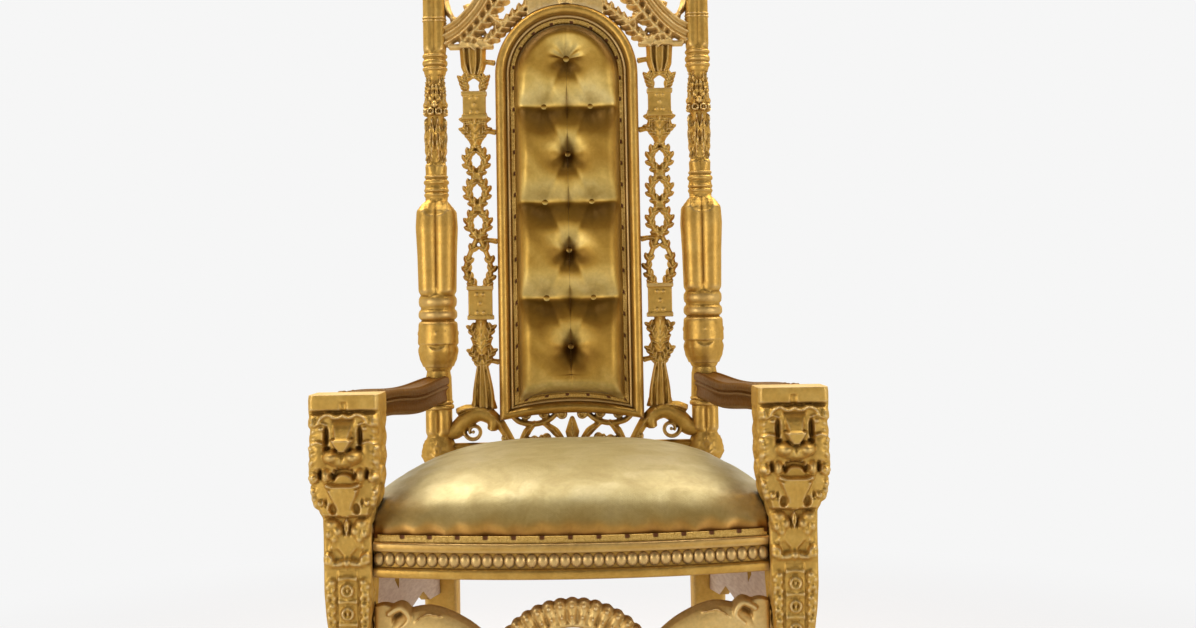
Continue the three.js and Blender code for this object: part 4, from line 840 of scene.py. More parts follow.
def backPost(side):
    # the stations' radii blended up the post; rings, reeds, leaves and grooves are added to them
    style = postStyle
    column, acorn, collar, bulb, shaft = (style[key]
                                          for key in ("column", "acorn", "collar", "bulb", "shaft"))
    legTop, acornTop, bulbFoot, bulbTop = (style[key]
                                           for key in ("legTop", "acornTop", "bulbFoot", "bulbTop"))
    neckTop, spindleTop, bandTop = (style[key] for key in ("neckTop", "spindleTop", "bandTop"))
    shoulder, top = style["shoulder"], style["top"]
    foot, leg = style["footHalf"], style["legHalf"]
    runs = [
        ("square", [(0, foot - 1), (2, foot), (railBottom, leg), (legTop - 2, leg), (legTop, leg - 2)]),
        ("round", [(legTop + 4, column), (legTop + 22, column + 9), (legTop + 44, column + 5),
                   (legTop + 60, column - 2)]),
        ("reeded", [(legTop + 66, column), (629, column)]),
        ("round", [(633, column + 2), (armTop - 2, column), (armTop + 8, column - 3),
                   (armTop + 16, acorn - 9),
                   (armTop + 28, acorn - 3.5), (armTop + 46, acorn), (armTop + 66, acorn + 0.4),
                   (acornTop - 4, acorn - 1.2), (acornTop, acorn - 2), (acornTop + 1.5, collar - 7),
                   (acornTop + 5, collar - 6), (acornTop + 8, collar), (acornTop + 22, collar),
                   (acornTop + 25, collar - 6), (acornTop + 29, collar - 6), (acornTop + 32, collar),
                   (acornTop + 48, collar - 1), (acornTop + 52, collar - 5)]),
        ("reeded", [(bulbFoot - 6, collar - 3), (bulbFoot, bulb - 3), (bulbFoot + 70, bulb - 1.5),
                    (bulbTop - 56, bulb + 1), (bulbTop - 24, bulb - 1), (bulbTop - 8, shaft + 6)]),
        ("round", [(bulbTop, shaft), (bulbTop + 10, shaft), (neckTop - 4, shaft), (neckTop, shaft - 1)]),
        ("reeded", [(neckTop + 26, shaft - 1)]),
        ("round", [(neckTop + 44, shaft - 2), (spindleTop - 8, shaft - 2), (spindleTop, shaft),
                   (bandTop, shaft)]),
        ("reeded", [(bandTop + 4, shaft), (shoulder - 8, shaft)]),
        ("round", [(shoulder - 5, shaft + 4), (shoulder, shaft + 7), (shoulder + 8, shaft + 4),
                   (shoulder + 16, shaft - 6), (shoulder + 36, shaft + 3), (shoulder + 60, shaft + 6),
                   (shoulder + 84, shaft), (shoulder + 106, shaft - 12), (top - 14, 6), (top - 6, 6.5),
                   (top, 2)]),
    ]
    stations = [(z, half, form) for form, run in runs for z, half in run]
    angle = np.linspace(0, 2 * math.pi, style["around"], endpoint=False)[None, :]
    marks = np.array([z for z, _, _ in stations], float)
    radii = np.concatenate([postSection(form, angle, half) for _, half, form in stations])
    rings = [(637, 5, 3), (646, 3, 2), (bulbTop + 8, 3.4, 2.4), (bulbTop + 17, 3.4, 2.4),
             (bulbTop + 33, 4.5, 3),
             (neckTop + 3, 3, 2.4), (spindleTop + 6, 3.6, 2.8), (spindleTop + 18, 6, 3),
             (spindleTop + 32, 3.6, 2.8),
             (bandTop + 62, 2, 1.6), (bandTop + 68, 2, 1.6)]
    fine = [np.arange(low, high, 2.2) for low, high in ((legTop, legTop + 60), (armTop + 40, armTop + 90),
                                                        (bulbTop - 40, bulbTop + 4),
                                                        (neckTop + 20, spindleTop))]
    coarse = [np.arange(0, legTop, 12), np.arange(legTop, top, 7), marks]
    round9 = [middle + half * np.linspace(-1, 1, 9) for middle, half, _ in rings]
    z = np.unique(np.round(np.concatenate([*coarse, *fine, *round9])))[:, None]
    low = np.clip(np.searchsorted(marks, z[:, 0], side="right") - 1, 0, len(marks) - 2)
    share = (z - marks[low][:, None]) / (marks[low + 1] - marks[low])[:, None]
    radius = blurred(mix(radii[low], radii[low + 1], share), 1, wrap=True)
    for middle, half, rise in rings:
        radius = radius + rise * np.sqrt(np.clip(1 - ((z - middle) / half) ** 2, 0, 1))
    faceTurn = (angle + math.pi / 4) % (math.pi / 2) - math.pi / 4  # about the nearest of the four faces
    reedTurn = angle % (math.pi / 2) - math.pi / 4                  # about the nearest of the four reeds
    arc = faceTurn * shaft
    across, tall = np.abs(arc), z + 0 * arc
    foot, head = neckTop + 26, spindleTop
    blades = [((6, foot + 96), (9, foot + 6), 8, 7, 3), ((17, foot + 80), (15, foot), 4, 5, 3),
              ((4, foot + 114), (16, foot + 148), 6, 7, 2), ((6, foot + 122), (3, head - 18), 6, 6, 3),
              ((16, foot + 138), (12, head - 8), 5, 5, 3)]
    leaves = [*(leafOn(across, tall, *blade) for blade in blades),
              ringOn(across, tall, (8, foot + 106), 5.5, 2.8, 8),
              mound(across, tall, (8, foot + 106), (2.6, 2.6), 7.5),
              mound(arc, tall, (0, foot + 120), (6, 9), 8)]
    carved = np.zeros_like(arc + tall)
    for leaf in leaves:
        carved = np.maximum(carved, leaf)
    ground = 3.2 * ease(foot - 4, foot + 6, tall) * ease(head - 4, head - 14, tall)
    radius = radius + carved - ground
    bulbRange = ease(bulbFoot - 2, bulbFoot + 10, tall) * ease(bulbTop - 12, bulbTop - 30, tall)
    columnRange = ease(legTop + 62, legTop + 70, tall) * ease(631, 624, tall)
    radius = radius - 1.6 * np.exp(-(faceTurn / 0.05) ** 2) * bulbRange
    radius = radius - 1.6 * np.exp(-(faceTurn / 0.1) ** 2) * columnRange
    gadroonTop = armTop + 58 - 7 * np.cos(faceTurn * 4)
    gadroon = np.abs(np.cos(2 * angle)) ** 0.8 * ease(gadroonTop + 1.5, gadroonTop - 1.5, z)
    gadroon = gadroon * ease(armTop + 8, armTop + 20, z) * (0.5 + 0.5 * ease(armTop + 10, armTop + 40, z))
    recess = ease(armTop + 62, armTop + 58, z) * ease(armTop + 8, armTop + 16, z)
    radius = radius - 2.6 * (1 - gadroon) * recess
    radius = radius + mound(faceTurn * acorn, tall, (0, armTop + 82), (3, 5), 1.4)
    tip = bulbTop - 34 + 26 * np.cos(reedTurn * 2) ** 6
    radius = radius - 3.2 * ease(0, 3, z - tip) * ease(bulbTop, bulbTop - 4, z)
    radius = radius + leafOn(faceTurn * 30, tall, (0, legTop + 5), (0, legTop + 52), 17, 2.4, 4)
    rows = np.stack([side * postX + radius * np.cos(angle), radius * np.sin(angle), tall], -1)
    return moved(skin(rows), onBack)


addBoth("turned_post_", "back_post_", backPost, giltPlain)
print("posts turned")


# Arms

armStyle = {"depthFront": 42, "depthRear": 52, "halfFront": 40, "halfRear": 23, "steps": 100}


def arm(side):
    # a moulded section carried from the post to the back of the head, widening and dipping a little
    style = armStyle
    rear, front = postY + leanAt(armTop) - 6, legY + 38 + gap
    halfSection = np.array([
        [0, 0.05], [0.5, 0.035], [0.62, 0.0], [0.74, -0.01], [0.86, 0.02], [0.96, 0.07], [1, 0.16],
        [0.98, 0.26],
        [0.9, 0.31], [0.885, 0.35], [0.95, 0.38], [0.965, 0.43], [0.9, 0.48], [0.84, 0.52], [0.85, 0.66],
        [0.9, 0.8],
        [0.86, 0.92], [0.7, 0.985], [0.4, 1.0], [0, 1.0],
    ])
    right, _ = alongSpline(halfSection, 38)
    section = np.concatenate([right, (right * [-1, 1])[-2:0:-1]])
    t = np.linspace(0, 1, style["steps"] + 1)[:, None]
    turn = ease(0, 1, t)
    half = mix(style["halfRear"], style["halfFront"], turn)
    deep = mix(style["depthRear"], style["depthFront"], t)
    top = armTop - 2 - 8 * np.sin(math.pi * np.minimum(1, t * 1.15)) ** 2
    across, down = section[None, :, 0], section[None, :, 1]
    along = mix(rear, front, t)
    x = across * half
    leaf = leafOn(x, along + 0 * x, (0, front + 4), (0, front + 118), 30, 3.4, 6)
    curl = np.maximum(ringOn(np.abs(x), along + 0 * x, (26, front + 13), 6.5, 3, 3), leaf)
    z = top - down * deep + curl * (down < 0.1)
    grooves = 1.1 * np.abs(np.sin(down * 22)) * (down > 0.55) * (down < 0.9) * np.sign(across)
    x = x - grooves
    return skin(np.stack([side * mix(postX, legX - 6, t) + x, along + 0 * x, z], -1))


addBoth("moulded_arm_", "arm_", arm, giltArmShaded)
print("arms moulded")


# Seat rails

railStyle = {"thick": 30, "setBack": 23, "bow": 43, "beads": 36, "beadHeight": 21, "sideOut": 22}
railEnd = legX - 37 - gap
sideStart, sideEnd = legY + 38 + gap, postY - 34 - gap


def railFaceY(x):
    # the front rail swells by the bow at its middle, as a parabola
    return legY - railStyle["setBack"] - railStyle["bow"] * (1 - (x / railEnd) ** 2)


def sideX(y):
    # the line between a front leg's and a back post's centres
    return mix(legX, postX, (y - legY) / (postY - legY))


def railSection():
    # [out, height]: low half round, sunk bead course, and a flat band under the upholstery
    torus = [[3.0 + 2.8 * math.cos(a), railBottom + 7.2 + 7 * math.sin(a)]
             for a in np.linspace(-1.5, 1.4, 11)]
    face = [[2.6, railBottom + 14.8], [-2.6, railBottom + 16], [-3.2, railBottom + 17.4],
            [-3.2, railBottom + 38],
            [-2.6, railBottom + 39.4], [2.8, railBottom + 40.4], [3.6, railBottom + 41.6],
            [3.8, railBottom + 46],
            [3.6, railBottom + 51], [2.6, railTop - 1], [0, railTop]]
    thick = railStyle["thick"]
    return np.array([[-thick, railBottom], [0, railBottom], *torus, *face, [-thick, railTop]])


def beadRow(places, facing):
    # one upright rounded block for each place, its long axis standing
    shapes = []
    for x, y in places:
        radii = np.array([8.8, 8.8, railStyle["beadHeight"] / 2 + 0.3]) - np.abs(facing) * 0.5
        shapes.append(domeShape(np.array([x, y, railBottom + 27.7]) + facing, radii, rings=9, around=16))
    return shapes


def frontRail():
    # the section follows the bow, with a bead in the middle of each equal share of it
    x = np.linspace(-railEnd, railEnd, 121)
    section = railSection()
    rows = np.stack(np.broadcast_arrays(x[:, None], railFaceY(x)[:, None] - section[None, :, 0],
                                        section[None, :, 1]), -1)
    pitch = railEnd * 2 / railStyle["beads"]
    spots = -railEnd + pitch * (np.arange(railStyle["beads"]) + 0.5)
    return joined([skin(rows), *beadRow(np.column_stack([spots, railFaceY(spots)]), np.array([0, 3.2, 0]))])


def sideRail(side):
    # the section follows the line between leg and post, with a bead each 16.9 mm
    y = np.linspace(sideStart, sideEnd, 60)
    section = railSection()
    x = side * (sideX(y)[:, None] + railStyle["sideOut"] + section[None, :, 0])
    rows = np.stack(np.broadcast_arrays(x, y[:, None], section[None, :, 1]), -1)
    spots = np.arange(sideStart + 9, sideEnd - 4, 16.9)
    face = side * (sideX(spots) + railStyle["sideOut"])
    return joined([skin(rows), *beadRow(np.column_stack([face, spots]), np.array([-3.2 * side, 0, 0]))])


addPiece("beaded_front_rail", meshOf("beaded_front_rail", frontRail()), [giltPlain], "gilded_wood",
         "front_seat_rail")
addBoth("beaded_side_rail_", "side_seat_rail_", sideRail, giltPlain)
softenedNode("plain_rear_rail", "rear_seat_rail", 1.5, [giltSide], "gilded_wood")
softenedNode("webbing_board", "seat_board", 0.8, [rawBoard], "bare_wood")
softenedNode("panel_board", "back_board", 0.8, [rawBoard], "bare_wood")
for side, word in sides:
    apron = softenedNode("pierced_side_apron_" + word, "side_apron_" + word, 1.2, [giltSide, litWashedWood],
                         "gilded_wood")
    facing = np.zeros(len(apron.data.polygons) * 3, np.float32)
    apron.data.polygons.foreach_get("normal", facing)
    inner = (facing.reshape(-1, 3)[:, 0] * side < -0.5).astype(np.int32)  # gilt outside, washed wood inside
    apron.data.polygons.foreach_set("material_index", inner)
print("rails and boards fitted")


# Arched panel: frame, pad, braid and buttons

panelStyle = {
    "bottom": 636, "spring": 1289, "half": 113, "camber": 14, "frameWidth": 28,
    "inset": 2, "rim": 11, "edge": 8, "crown": 35, "pillow": 0.5, "back": 7.5,
    "buttonRows": 7, "buttonPitch": 94.5, "firstButton": 116, "buttonSpread": 46, "buttonRadius": 8.5,
}
panelBottom, archSpring, openingHalf, camber = (panelStyle[key]
                                                for key in ("bottom", "spring", "half", "camber"))
buttonSpots = [(x, panelBottom + panelStyle["firstButton"] + row * panelStyle["buttonPitch"])
               for row in range(panelStyle["buttonRows"])
               for x in ((-panelStyle["buttonSpread"], panelStyle["buttonSpread"]) if row % 2 else (0,))]


def archLine(grow, pitch=4.0):
    # up the right side, over the half circle, down the left side and back along the cambered foot
    half = openingHalf + grow
    low = panelBottom - grow
    rise = np.linspace(low, archSpring, int((archSpring - panelBottom) / pitch), endpoint=False)
    angle = np.linspace(0, math.pi, int(openingHalf * math.pi / pitch), endpoint=False)
    floor = np.linspace(-half, half, int(openingHalf * 2 / pitch), endpoint=False)
    return np.concatenate([
        np.column_stack([np.full_like(rise, half), rise]),
        np.column_stack([half * np.cos(angle), archSpring + half * np.sin(angle)]),
        np.column_stack([np.full_like(rise, -half), rise[::-1] + (rise[1] - rise[0])]),
        np.column_stack([floor, low + camber * (1 - (floor / half) ** 2)])])


def ringAlongArch(section, pitch=4.0):
    # the section's points are (out from the opening, y); each follows its own grown line
    lines = np.stack([archLine(out, pitch) for out, _ in section], 1)
    y = np.broadcast_to(np.array([y for _, y in section])[None, :], lines.shape[:2])
    return skin(np.stack([lines[..., 0], y, lines[..., 1]], -1), loop=True)


def panelFrame():
    # slim inner bead, hollow and one broad half round, then the plain back
    torus = [[17.6 + 9.4 * math.cos(a), -14.6 - 9.2 * math.sin(a)] for a in np.linspace(2.75, 0.25, 15)]
    bead = [[0, -11], [0.6, -13.6], [2.2, -15], [4.4, -15], [5.8, -13.4], [6.4, -12.4], [7.6, -13.4]]
    section = [[0, 18], [0, 14], *bead, *torus, [27, -14.6], [28, -13.4], [28, 14], [28, 17], [27, 18],
               [24, 18],
               [4, 18]]
    return moved(ringAlongArch(section), onBack)


def segmentDistance(x, z, start, end):
    # distance to a straight piece's nearest point, its share kept between the ends
    run = np.subtract(end, start).astype(float)
    t = np.clip(((x - start[0]) * run[0] + (z - start[1]) * run[1]) / run.dot(run), 0, 1)
    return np.hypot(x - start[0] - t * run[0], z - start[1] - t * run[1])


def padCreases():
    # folds run from each button to its neighbours in the next row, out to the frame and off both ends
    lines = []
    reach = openingHalf - 6
    rows = [[spot for spot in buttonSpots if abs(spot[1] - panelBottom - panelStyle["firstButton"]
             - row * panelStyle["buttonPitch"]) < 1] for row in range(panelStyle["buttonRows"])]
    for lower, upper in zip(rows[:-1], rows[1:]):
        lines += [(a, b) for a in lower for b in upper]
    for row in rows[1::2]:
        lines += [(spot, (math.copysign(reach, spot[0]), spot[1] + 3)) for spot in row]
    lines += [((0, panelBottom + 6), rows[0][0]), (rows[-1][0], (0, archSpring + openingHalf - 8))]
    return lines


def padHeight(x, z, rim):
    # pillows, fullest half way between the level folds, drawn in at each button and nothing at the rim
    style = panelStyle
    edge = np.clip((rim - style["rim"]) / 26, 0, 1)
    fill = np.sqrt(np.clip(1 - (1 - edge) ** 2, 0, 1))
    period = 2 * style["buttonPitch"]
    firstLevel = panelBottom + style["firstButton"] + style["buttonPitch"]
    # phase is 1 on a level fold and 0 half way between two
    phase = 1 - np.abs((z - firstLevel + period / 2) % period / (period / 2) - 1)
    inner = ease(firstLevel - period / 2, firstLevel - period / 4, z) \
        * ease(firstLevel + 2.5 * period, firstLevel + 2.25 * period, z)
    sag = style["pillow"] * phase ** 4 * mix(0.55, 1, inner)
    height = fill * (1 - sag)
    for start, end in padCreases():
        away = segmentDistance(x, z, start, end)
        deep, wide = (0.16, 8) if abs(start[1] - end[1]) < 8 else (0.06, 8)
        height = height * (1 - deep * np.exp(-(away / wide) ** 1.2) - 0.045 * np.exp(-(away / 2.2) ** 2))
    for bx, bz in buttonSpots:
        away, turn = np.hypot(x - bx, z - bz), np.arctan2(z - bz, x - bx)
        star = 0.035 * np.cos(9 * turn + bx + bz) * np.exp(-((away - 22) / 11) ** 2)
        height = height * (1 - 0.88 * np.exp(-(away / 26) ** 1.3) - star)
    return height


def backPad():
    # rings of the panel's outline shrinking to its middle line keep the rim clean and the face dense
    style = panelStyle
    outline = archLine(-style["inset"], 3.6)
    spineLow, spineHigh = panelBottom + 60, archSpring + 30
    spine = np.column_stack([np.zeros(len(outline)), np.clip(outline[:, 1], spineLow, spineHigh)])
    share = np.concatenate([[0, 0.01, 0.03], np.linspace(0.06, 1, 58)])[:, None, None]
    flat = mix(outline[None], spine[None], share * 0.9985)
    x, z = flat[..., 0], flat[..., 1]
    half = openingHalf - style["inset"]
    up = np.maximum(0, z - archSpring)
    foot = panelBottom + style["inset"] + camber * (1 - (x / half) ** 2)
    side = np.where(up > 0, half - np.hypot(x, up), half - np.abs(x))
    rim = np.minimum(side, np.where(up > 0, 1e3, z - foot))
    height = blurred(padHeight(x, z, rim), 3)
    creep = 0.4 * wander(np.stack([x, z, 0 * x], -1), 60, 1.0) * ease(14, 40, rim)
    face = np.stack([x, -style["edge"] - style["crown"] * height - creep, z], -1)
    rear = np.stack([outline[:, 0], np.full(len(outline), style["back"]), outline[:, 1]], -1)[None]
    rearInner = mix(rear, np.stack([spine[:, 0], np.full(len(spine), style["back"]), spine[:, 1]],
                                   -1)[None], 0.9985)
    rows = np.concatenate([rearInner, rear, face])
    return moved(skin(rows), onBack)


def tuftButton(spot):
    # a covered dome, its cloth gathered in pleats under the rim, turned to the leaning back
    x, z = spot
    height = padHeight(np.array([x + panelStyle["buttonRadius"] * 0.6]), np.array([z]), np.array([100.0]))[0]
    seat = -panelStyle["edge"] - panelStyle["crown"] * height + 2.4
    r = np.array([0.3, 3, 5.6, 7.4, 8.4, 8.6, 8.0, 6.4, 0.3])[:, None]
    h = np.array([5.2, 5.0, 4.2, 3.0, 1.5, 0.2, -1.4, -2.6, -3.0])[:, None]
    turn = np.linspace(0, 2 * math.pi, 40, endpoint=False)[None, :]
    pleat = 1 + 0.035 * np.cos(turn * 10) * ease(5, 8, r)
    rows = np.stack([x + r * pleat * np.cos(turn), seat - h + 0 * turn, z + r * pleat * np.sin(turn)], -1)
    return moved(skin(rows), onBack)


braidStyle = {"thick": 2.6, "twist": 5, "tackPitch": 43, "tackHalf": 4}


def braidSection(run, share):
    # thickness of two twisted cords and a row of loops; and the tacks, one each pitch, where share is 1
    style = braidStyle
    wave = np.cos(run * 2 * math.pi / style["twist"] + 2.5 * share)
    cords = np.exp(-((np.abs(share) - 0.74) / 0.2) ** 2) * (0.8 + 0.2 * wave)
    loops = 0.75 * np.exp(-(share / 0.45) ** 2) * (0.65 + 0.35 * np.cos(run * math.pi / style["twist"]))
    away = np.abs((run + style["tackPitch"] / 2) % style["tackPitch"] - style["tackPitch"] / 2)
    tack = ease(style["tackHalf"] + 2, style["tackHalf"] - 2, away) * ease(-0.35, 0.25, share)
    return style["thick"] * (0.3 + 0.7 * np.maximum(cords, loops)) * (1 - 0.85 * tack), tack


def braidMesh(name, shape, tack):
    # the tack marks go along as an attribute that the braid's material reads to paint shade in the tack pits
    mesh = meshOf(name, shape)
    values = np.zeros(len(mesh.vertices), np.float32)
    values[:tack.size] = tack.ravel()
    mesh.attributes.new("tacked", "FLOAT", "POINT").data.foreach_set("value", values)
    return mesh


def archBraid():
    # the braid covers the joint between the pad and the frame all round the arch
    style = panelStyle
    pitch = 1.6
    outs = np.linspace(-0.6, -style["rim"] + 1, 9)
    lines = np.stack([archLine(out, pitch) for out in outs], 1)
    height, tack = braidSection(np.arange(len(lines))[:, None] * pitch,
                                np.linspace(-1, 1, len(outs))[None, :])
    floor = np.full_like(height[:, :1], -style["edge"] - gap + 0.3)
    y = np.concatenate([-style["edge"] - gap - height, floor, floor], 1)
    x, z = (np.concatenate([lines[..., k], lines[:, [-1, 0], k]], 1) for k in (0, 1))
    shape = moved(skin(np.stack([x, y, z], -1), loop=True), onBack)
    return braidMesh("arch_braid", shape, np.concatenate([tack, tack[:, [-1, 0]]], 1))


addPiece("moulded_arch", meshOf("moulded_arch", panelFrame()), [giltPlain], "gilded_wood", "panel_frame")
tuftedBack = addPiece("tufted_back", meshOf("tufted_back", backPad()), [tiltShadedSatin], "upholstery",
                      "back_pad", sharp=80)
addPiece("arch_braid", archBraid(), [braid], "braid", "back_gimp", sharp=70)
for number, spot in enumerate(buttonSpots, 1):
    addPiece("covered_button_%d" % number, meshOf("covered_button_%d" % number, tuftButton(spot)),
             [tiltShadedSatin],
             "upholstery", "tuft_button_%d" % number)
print("arched panel upholstered")


# Pierced frets between the frame and the posts

fretStyle = {"foot": 632, "top": 1345, "width": 74, "thick": 14, "voxel": 1.3, "faces": 62000}


def sideFret():
    # a candelabrum drawn in hundredths of the fret's width and height; u = 0 is against the frame
    style = fretStyle
    back, front = style["thick"] / 2, -style["thick"] / 2
    high = style["top"] - style["foot"] - gap * 2
    edge = openingHalf + panelStyle["frameWidth"] + gap

    def at(u, v):
        return [edge + u / 100 * style["width"], style["foot"] + gap + v / 100 * high]

    def onAxis(off, v):
        return at(43 + 0.17 * v + off, v)

    def stem(spots, shares, section=roundStem, proud=0.0, steps=30, taper=0.05):
        return strand([onAxis(off, v) for off, v in spots], [w / 100 * style["width"] for w in shares],
                      section,
                      front - proud, back, steps=steps, taper=taper)

    def square(low, top, half, proud):
        a, b = onAxis(-half, low), onAxis(half, top)
        return boxShape(a[0], b[0], front - proud, back, a[1], b[1])

    def tab(v):
        near, far = at(-1, v), onAxis(0, v)
        return strand([near, [mix(near[0], far[0], 0.5), near[1] + 3], far], [12, 9, 12], leafBlade, -5, 5,
                      steps=14)

    shapes = [
        stem([[0, -0.5], [0, 5.6], [0, 15]], [76, 62, 32, 30, 36], scrollBand, 2),
        stem([[0, 14.5], [0, 19], [0, 25]], [30, 56, 22], leafBlade, 5),
        square(24.4, 25.6, 35, 6), square(25.4, 32.9, 31, 4), square(32.7, 33.8, 35, 6),
        square(80.2, 81.4, 34, 6), square(81.2, 87.0, 30, 4), square(86.8, 88.0, 34, 6),
        stem([[-12, 33], [-30, 39], [0, 48]], [18, 13, 14]),
        stem([[14, 33], [36, 39], [0, 48]], [18, 13, 14]),
        stem([[0, 72], [0, 76.5], [0, 81]], [14, 56, 24], leafBlade, 5),
        stem([[-16, 87.5], [-28, 90], [-4, 92.6]], [14, 11, 14]),
        stem([[14, 87.5], [30, 90], [4, 92.6]], [14, 11, 14]),
        stem([[0, 91.8], [0, 95], [0, 100.5]], [34, 66, 72], scrollBand, 3),
        *[tab(v) for v in (12.6, 46, 76.5, 96)],
    ]
    for hand in (-1, 1):
        spots = [[hand * 25 * math.sin(math.pi * k / 4), mix(47, 73, k / 12)] for k in range(13)]
        shapes.append(stem(spots, [13, 13], roundStem, 2, steps=70, taper=0.02))
    for off, v in ((-8, 26.4), (8, 26.4), (-8, 31.4), (8, 31.4), (0, 28.9), (-8, 82.2), (8, 82.2), (0, 84.2),
                   (-8, 86.2), (8, 86.2)):
        x, z = onAxis(off, v)
        shapes.append(domeShape(np.array([x, front - 4, z]), np.array([4.2, 2.6, 4.2])))
    for off in (-24, -8, 8, 24):  # flutes of the top cup and reeds of the foot
        shapes.append(stem([[off * 0.5, 92.6], [off * 0.9, 96], [off, 100.2]], [7, 11, 12], roundStem, 5,
                           steps=12))
        shapes.append(stem([[off, 0], [off * 0.9, 5], [off * 0.45, 12]], [14, 11, 7], roundStem, 4, steps=14))
    even = np.linspace(0.03, 0.97, 15)
    for hand in (-1, 1):
        vine = [onAxis(hand * 25 * math.sin(math.pi * k / 4), mix(47, 73, k / 12)) for k in range(13)]
        shapes += leavesAlong(vine, even, 14, 11, front - 3, back, lean=44)
        loop = [onAxis(hand * 13, 33), onAxis(hand * 33, 39), onAxis(0, 48)]
        shapes += leavesAlong(loop, [0.1, 0.26, 0.42, 0.58, 0.74, 0.9], 14, 11, front - 3, back, lean=44)
        for spots in ([[2, 11], [12, 13], [26, 15.6]], [[2, 16], [14, 18.6], [26, 22]],
                      [[0, 74], [12, 75.4], [28, 77.4]],
                      [[2, 78.6], [14, 79.4], [26, 80.4]], [[16, 88], [24, 89.6], [30, 91.6]]):
            branch = [onAxis(hand * off, v) for off, v in spots]
            shapes.append(strand(branch, [6, 7, 4], roundStem, front - 1, back, steps=14, taper=0.1))
            shapes += leavesAlong(branch, [0.25, 0.5, 0.75, 0.98], 12, 9, front - 3, back, lean=44)
    return joined(shapes)


for side, word in sides:
    shape = sideFret() if side > 0 else mirrored(sideFret())
    mesh = fused("pierced_fret_" + word, [moved(shape, onBack)], fretStyle["voxel"], fretStyle["faces"])
    addPiece("pierced_fret_" + word, mesh, [giltCarved], "gilded_wood", "side_fret_" + word, sharp=60)
print("frets pierced")


def drawnIn(style, back):
    # a place from hundredths of half the span and of the height, and a strand drawn so on both hands
    high = style["top"] - style["foot"]

    def at(u, v):
        return [u / 100 * style["reach"], style["foot"] + v / 100 * high]

    def pair(spots, widths, section, front, steps=30, taper=0.05):
        return bothHands(strand, [at(u, v) for u, v in spots], widths, section, front, back, steps=steps,
                         taper=taper)

    return at, pair


# Lower back rail

lowerStyle = {"foot": 552, "top": 632, "reach": 236, "back": 9, "voxel": 1.3, "faces": 55000}


def lowerRail():
    # crossing leaf stems between two scrolls, over a plain rail
    back = lowerStyle["back"]
    at, pair = drawnIn(lowerStyle, back)
    shapes = [
        strand([at(-106, 8), at(106, 8)], [13, 13], flatBar, -9, back),
        strand([at(-104, 10), at(104, 10)], [4, 4], roundStem, -12, back),
        *pair([[108, 46], [97, 48], [89, 70], [77, 88], [66, 72], [67, 46]], [34, 34, 33, 31, 26, 18],
              roundStem,
              -19, 50, 0.02),
        *pair([[96, 92], [88, 100], [78, 104]], [14, 16, 8], leafBlade, -17),
        *pair([[70, 96], [60, 62], [49, 8]], [17, 20, 15], leafBlade, -18),
        *pair([[44, 8], [38, 40], [30, 66]], [9, 16, 8], leafBlade, -14),
        *pair([[6, 8], [14, 40], [24, 62]], [9, 16, 8], leafBlade, -13),
        *pair([[52, 90], [44, 66], [30, 60], [18, 72], [10, 96]], [10, 11, 11, 11, 9], roundStem, -12),
        strand([at(0, 4), at(0, 40), at(0, 78)], [12, 28, 5], leafBlade, -16, back),
    ]
    for u, v, radius in ((82, 44, 19), (38, 84, 9), (23, 86, 9), (8, 84, 9), (54, 26, 9), (22, 26, 10),
                         (32, 22, 8)):
        shapes += bothHands(volute, at(u, v), radius, radius * 0.35, 1.2, -1, 0.6, [8, 7, 6], roundStem,
                            -15, back)
        x, z = at(u, v)
        shapes += [domeShape(np.array([hand * x, -9.0, z]), np.array([3.6, 6, 3.6])) for hand in (-1, 1)]
    return moved(joined(shapes), onBack)


def archCutter():
    # the frame's whole outline, grown by the gap and deeper than any carving beside it
    line = archLine(panelStyle["frameWidth"] + gap)
    rows = np.stack([np.column_stack([line[:, 0], np.full(len(line), y), line[:, 1]]) for y in (-60.0, 60.0)])
    return moved(skin(rows), onBack)


lowerMesh = fused("pierced_lower_rail", [lowerRail()], lowerStyle["voxel"], lowerStyle["faces"],
                  cutter=archCutter())
addPiece("pierced_lower_rail", lowerMesh, [giltCarved], "gilded_wood", "lower_back_rail", sharp=60)
print("lower back rail pierced")


# Crest

crestStyle = {"foot": 1345.3, "top": 1799, "reach": 239, "thick": 22, "bandThick": 34, "voxel": 1.9,
              "faces": 105000}


def shellLobes(middle, lengths, spread, front, back, gapShare=0.86):
    # one tapering reed for each lobe, fanned about the vertical
    shapes = []
    angles = np.linspace(-spread, spread, len(lengths) * 2 + 1)[1::2]
    wide = spread / len(lengths) * 2 * gapShare
    for angle, length in zip(angles, lengths):
        way = np.array([math.sin(angle), math.cos(angle)])
        line = [middle + way * length * share for share in (0.02, 0.35, 0.7, 0.97)]
        widths = [length * share * wide for share in (0.1, 0.42, 0.78, 0.86)]
        shapes.append(strand(line, widths, roundStem, front, back, steps=24, taper=0.14))
    return shapes


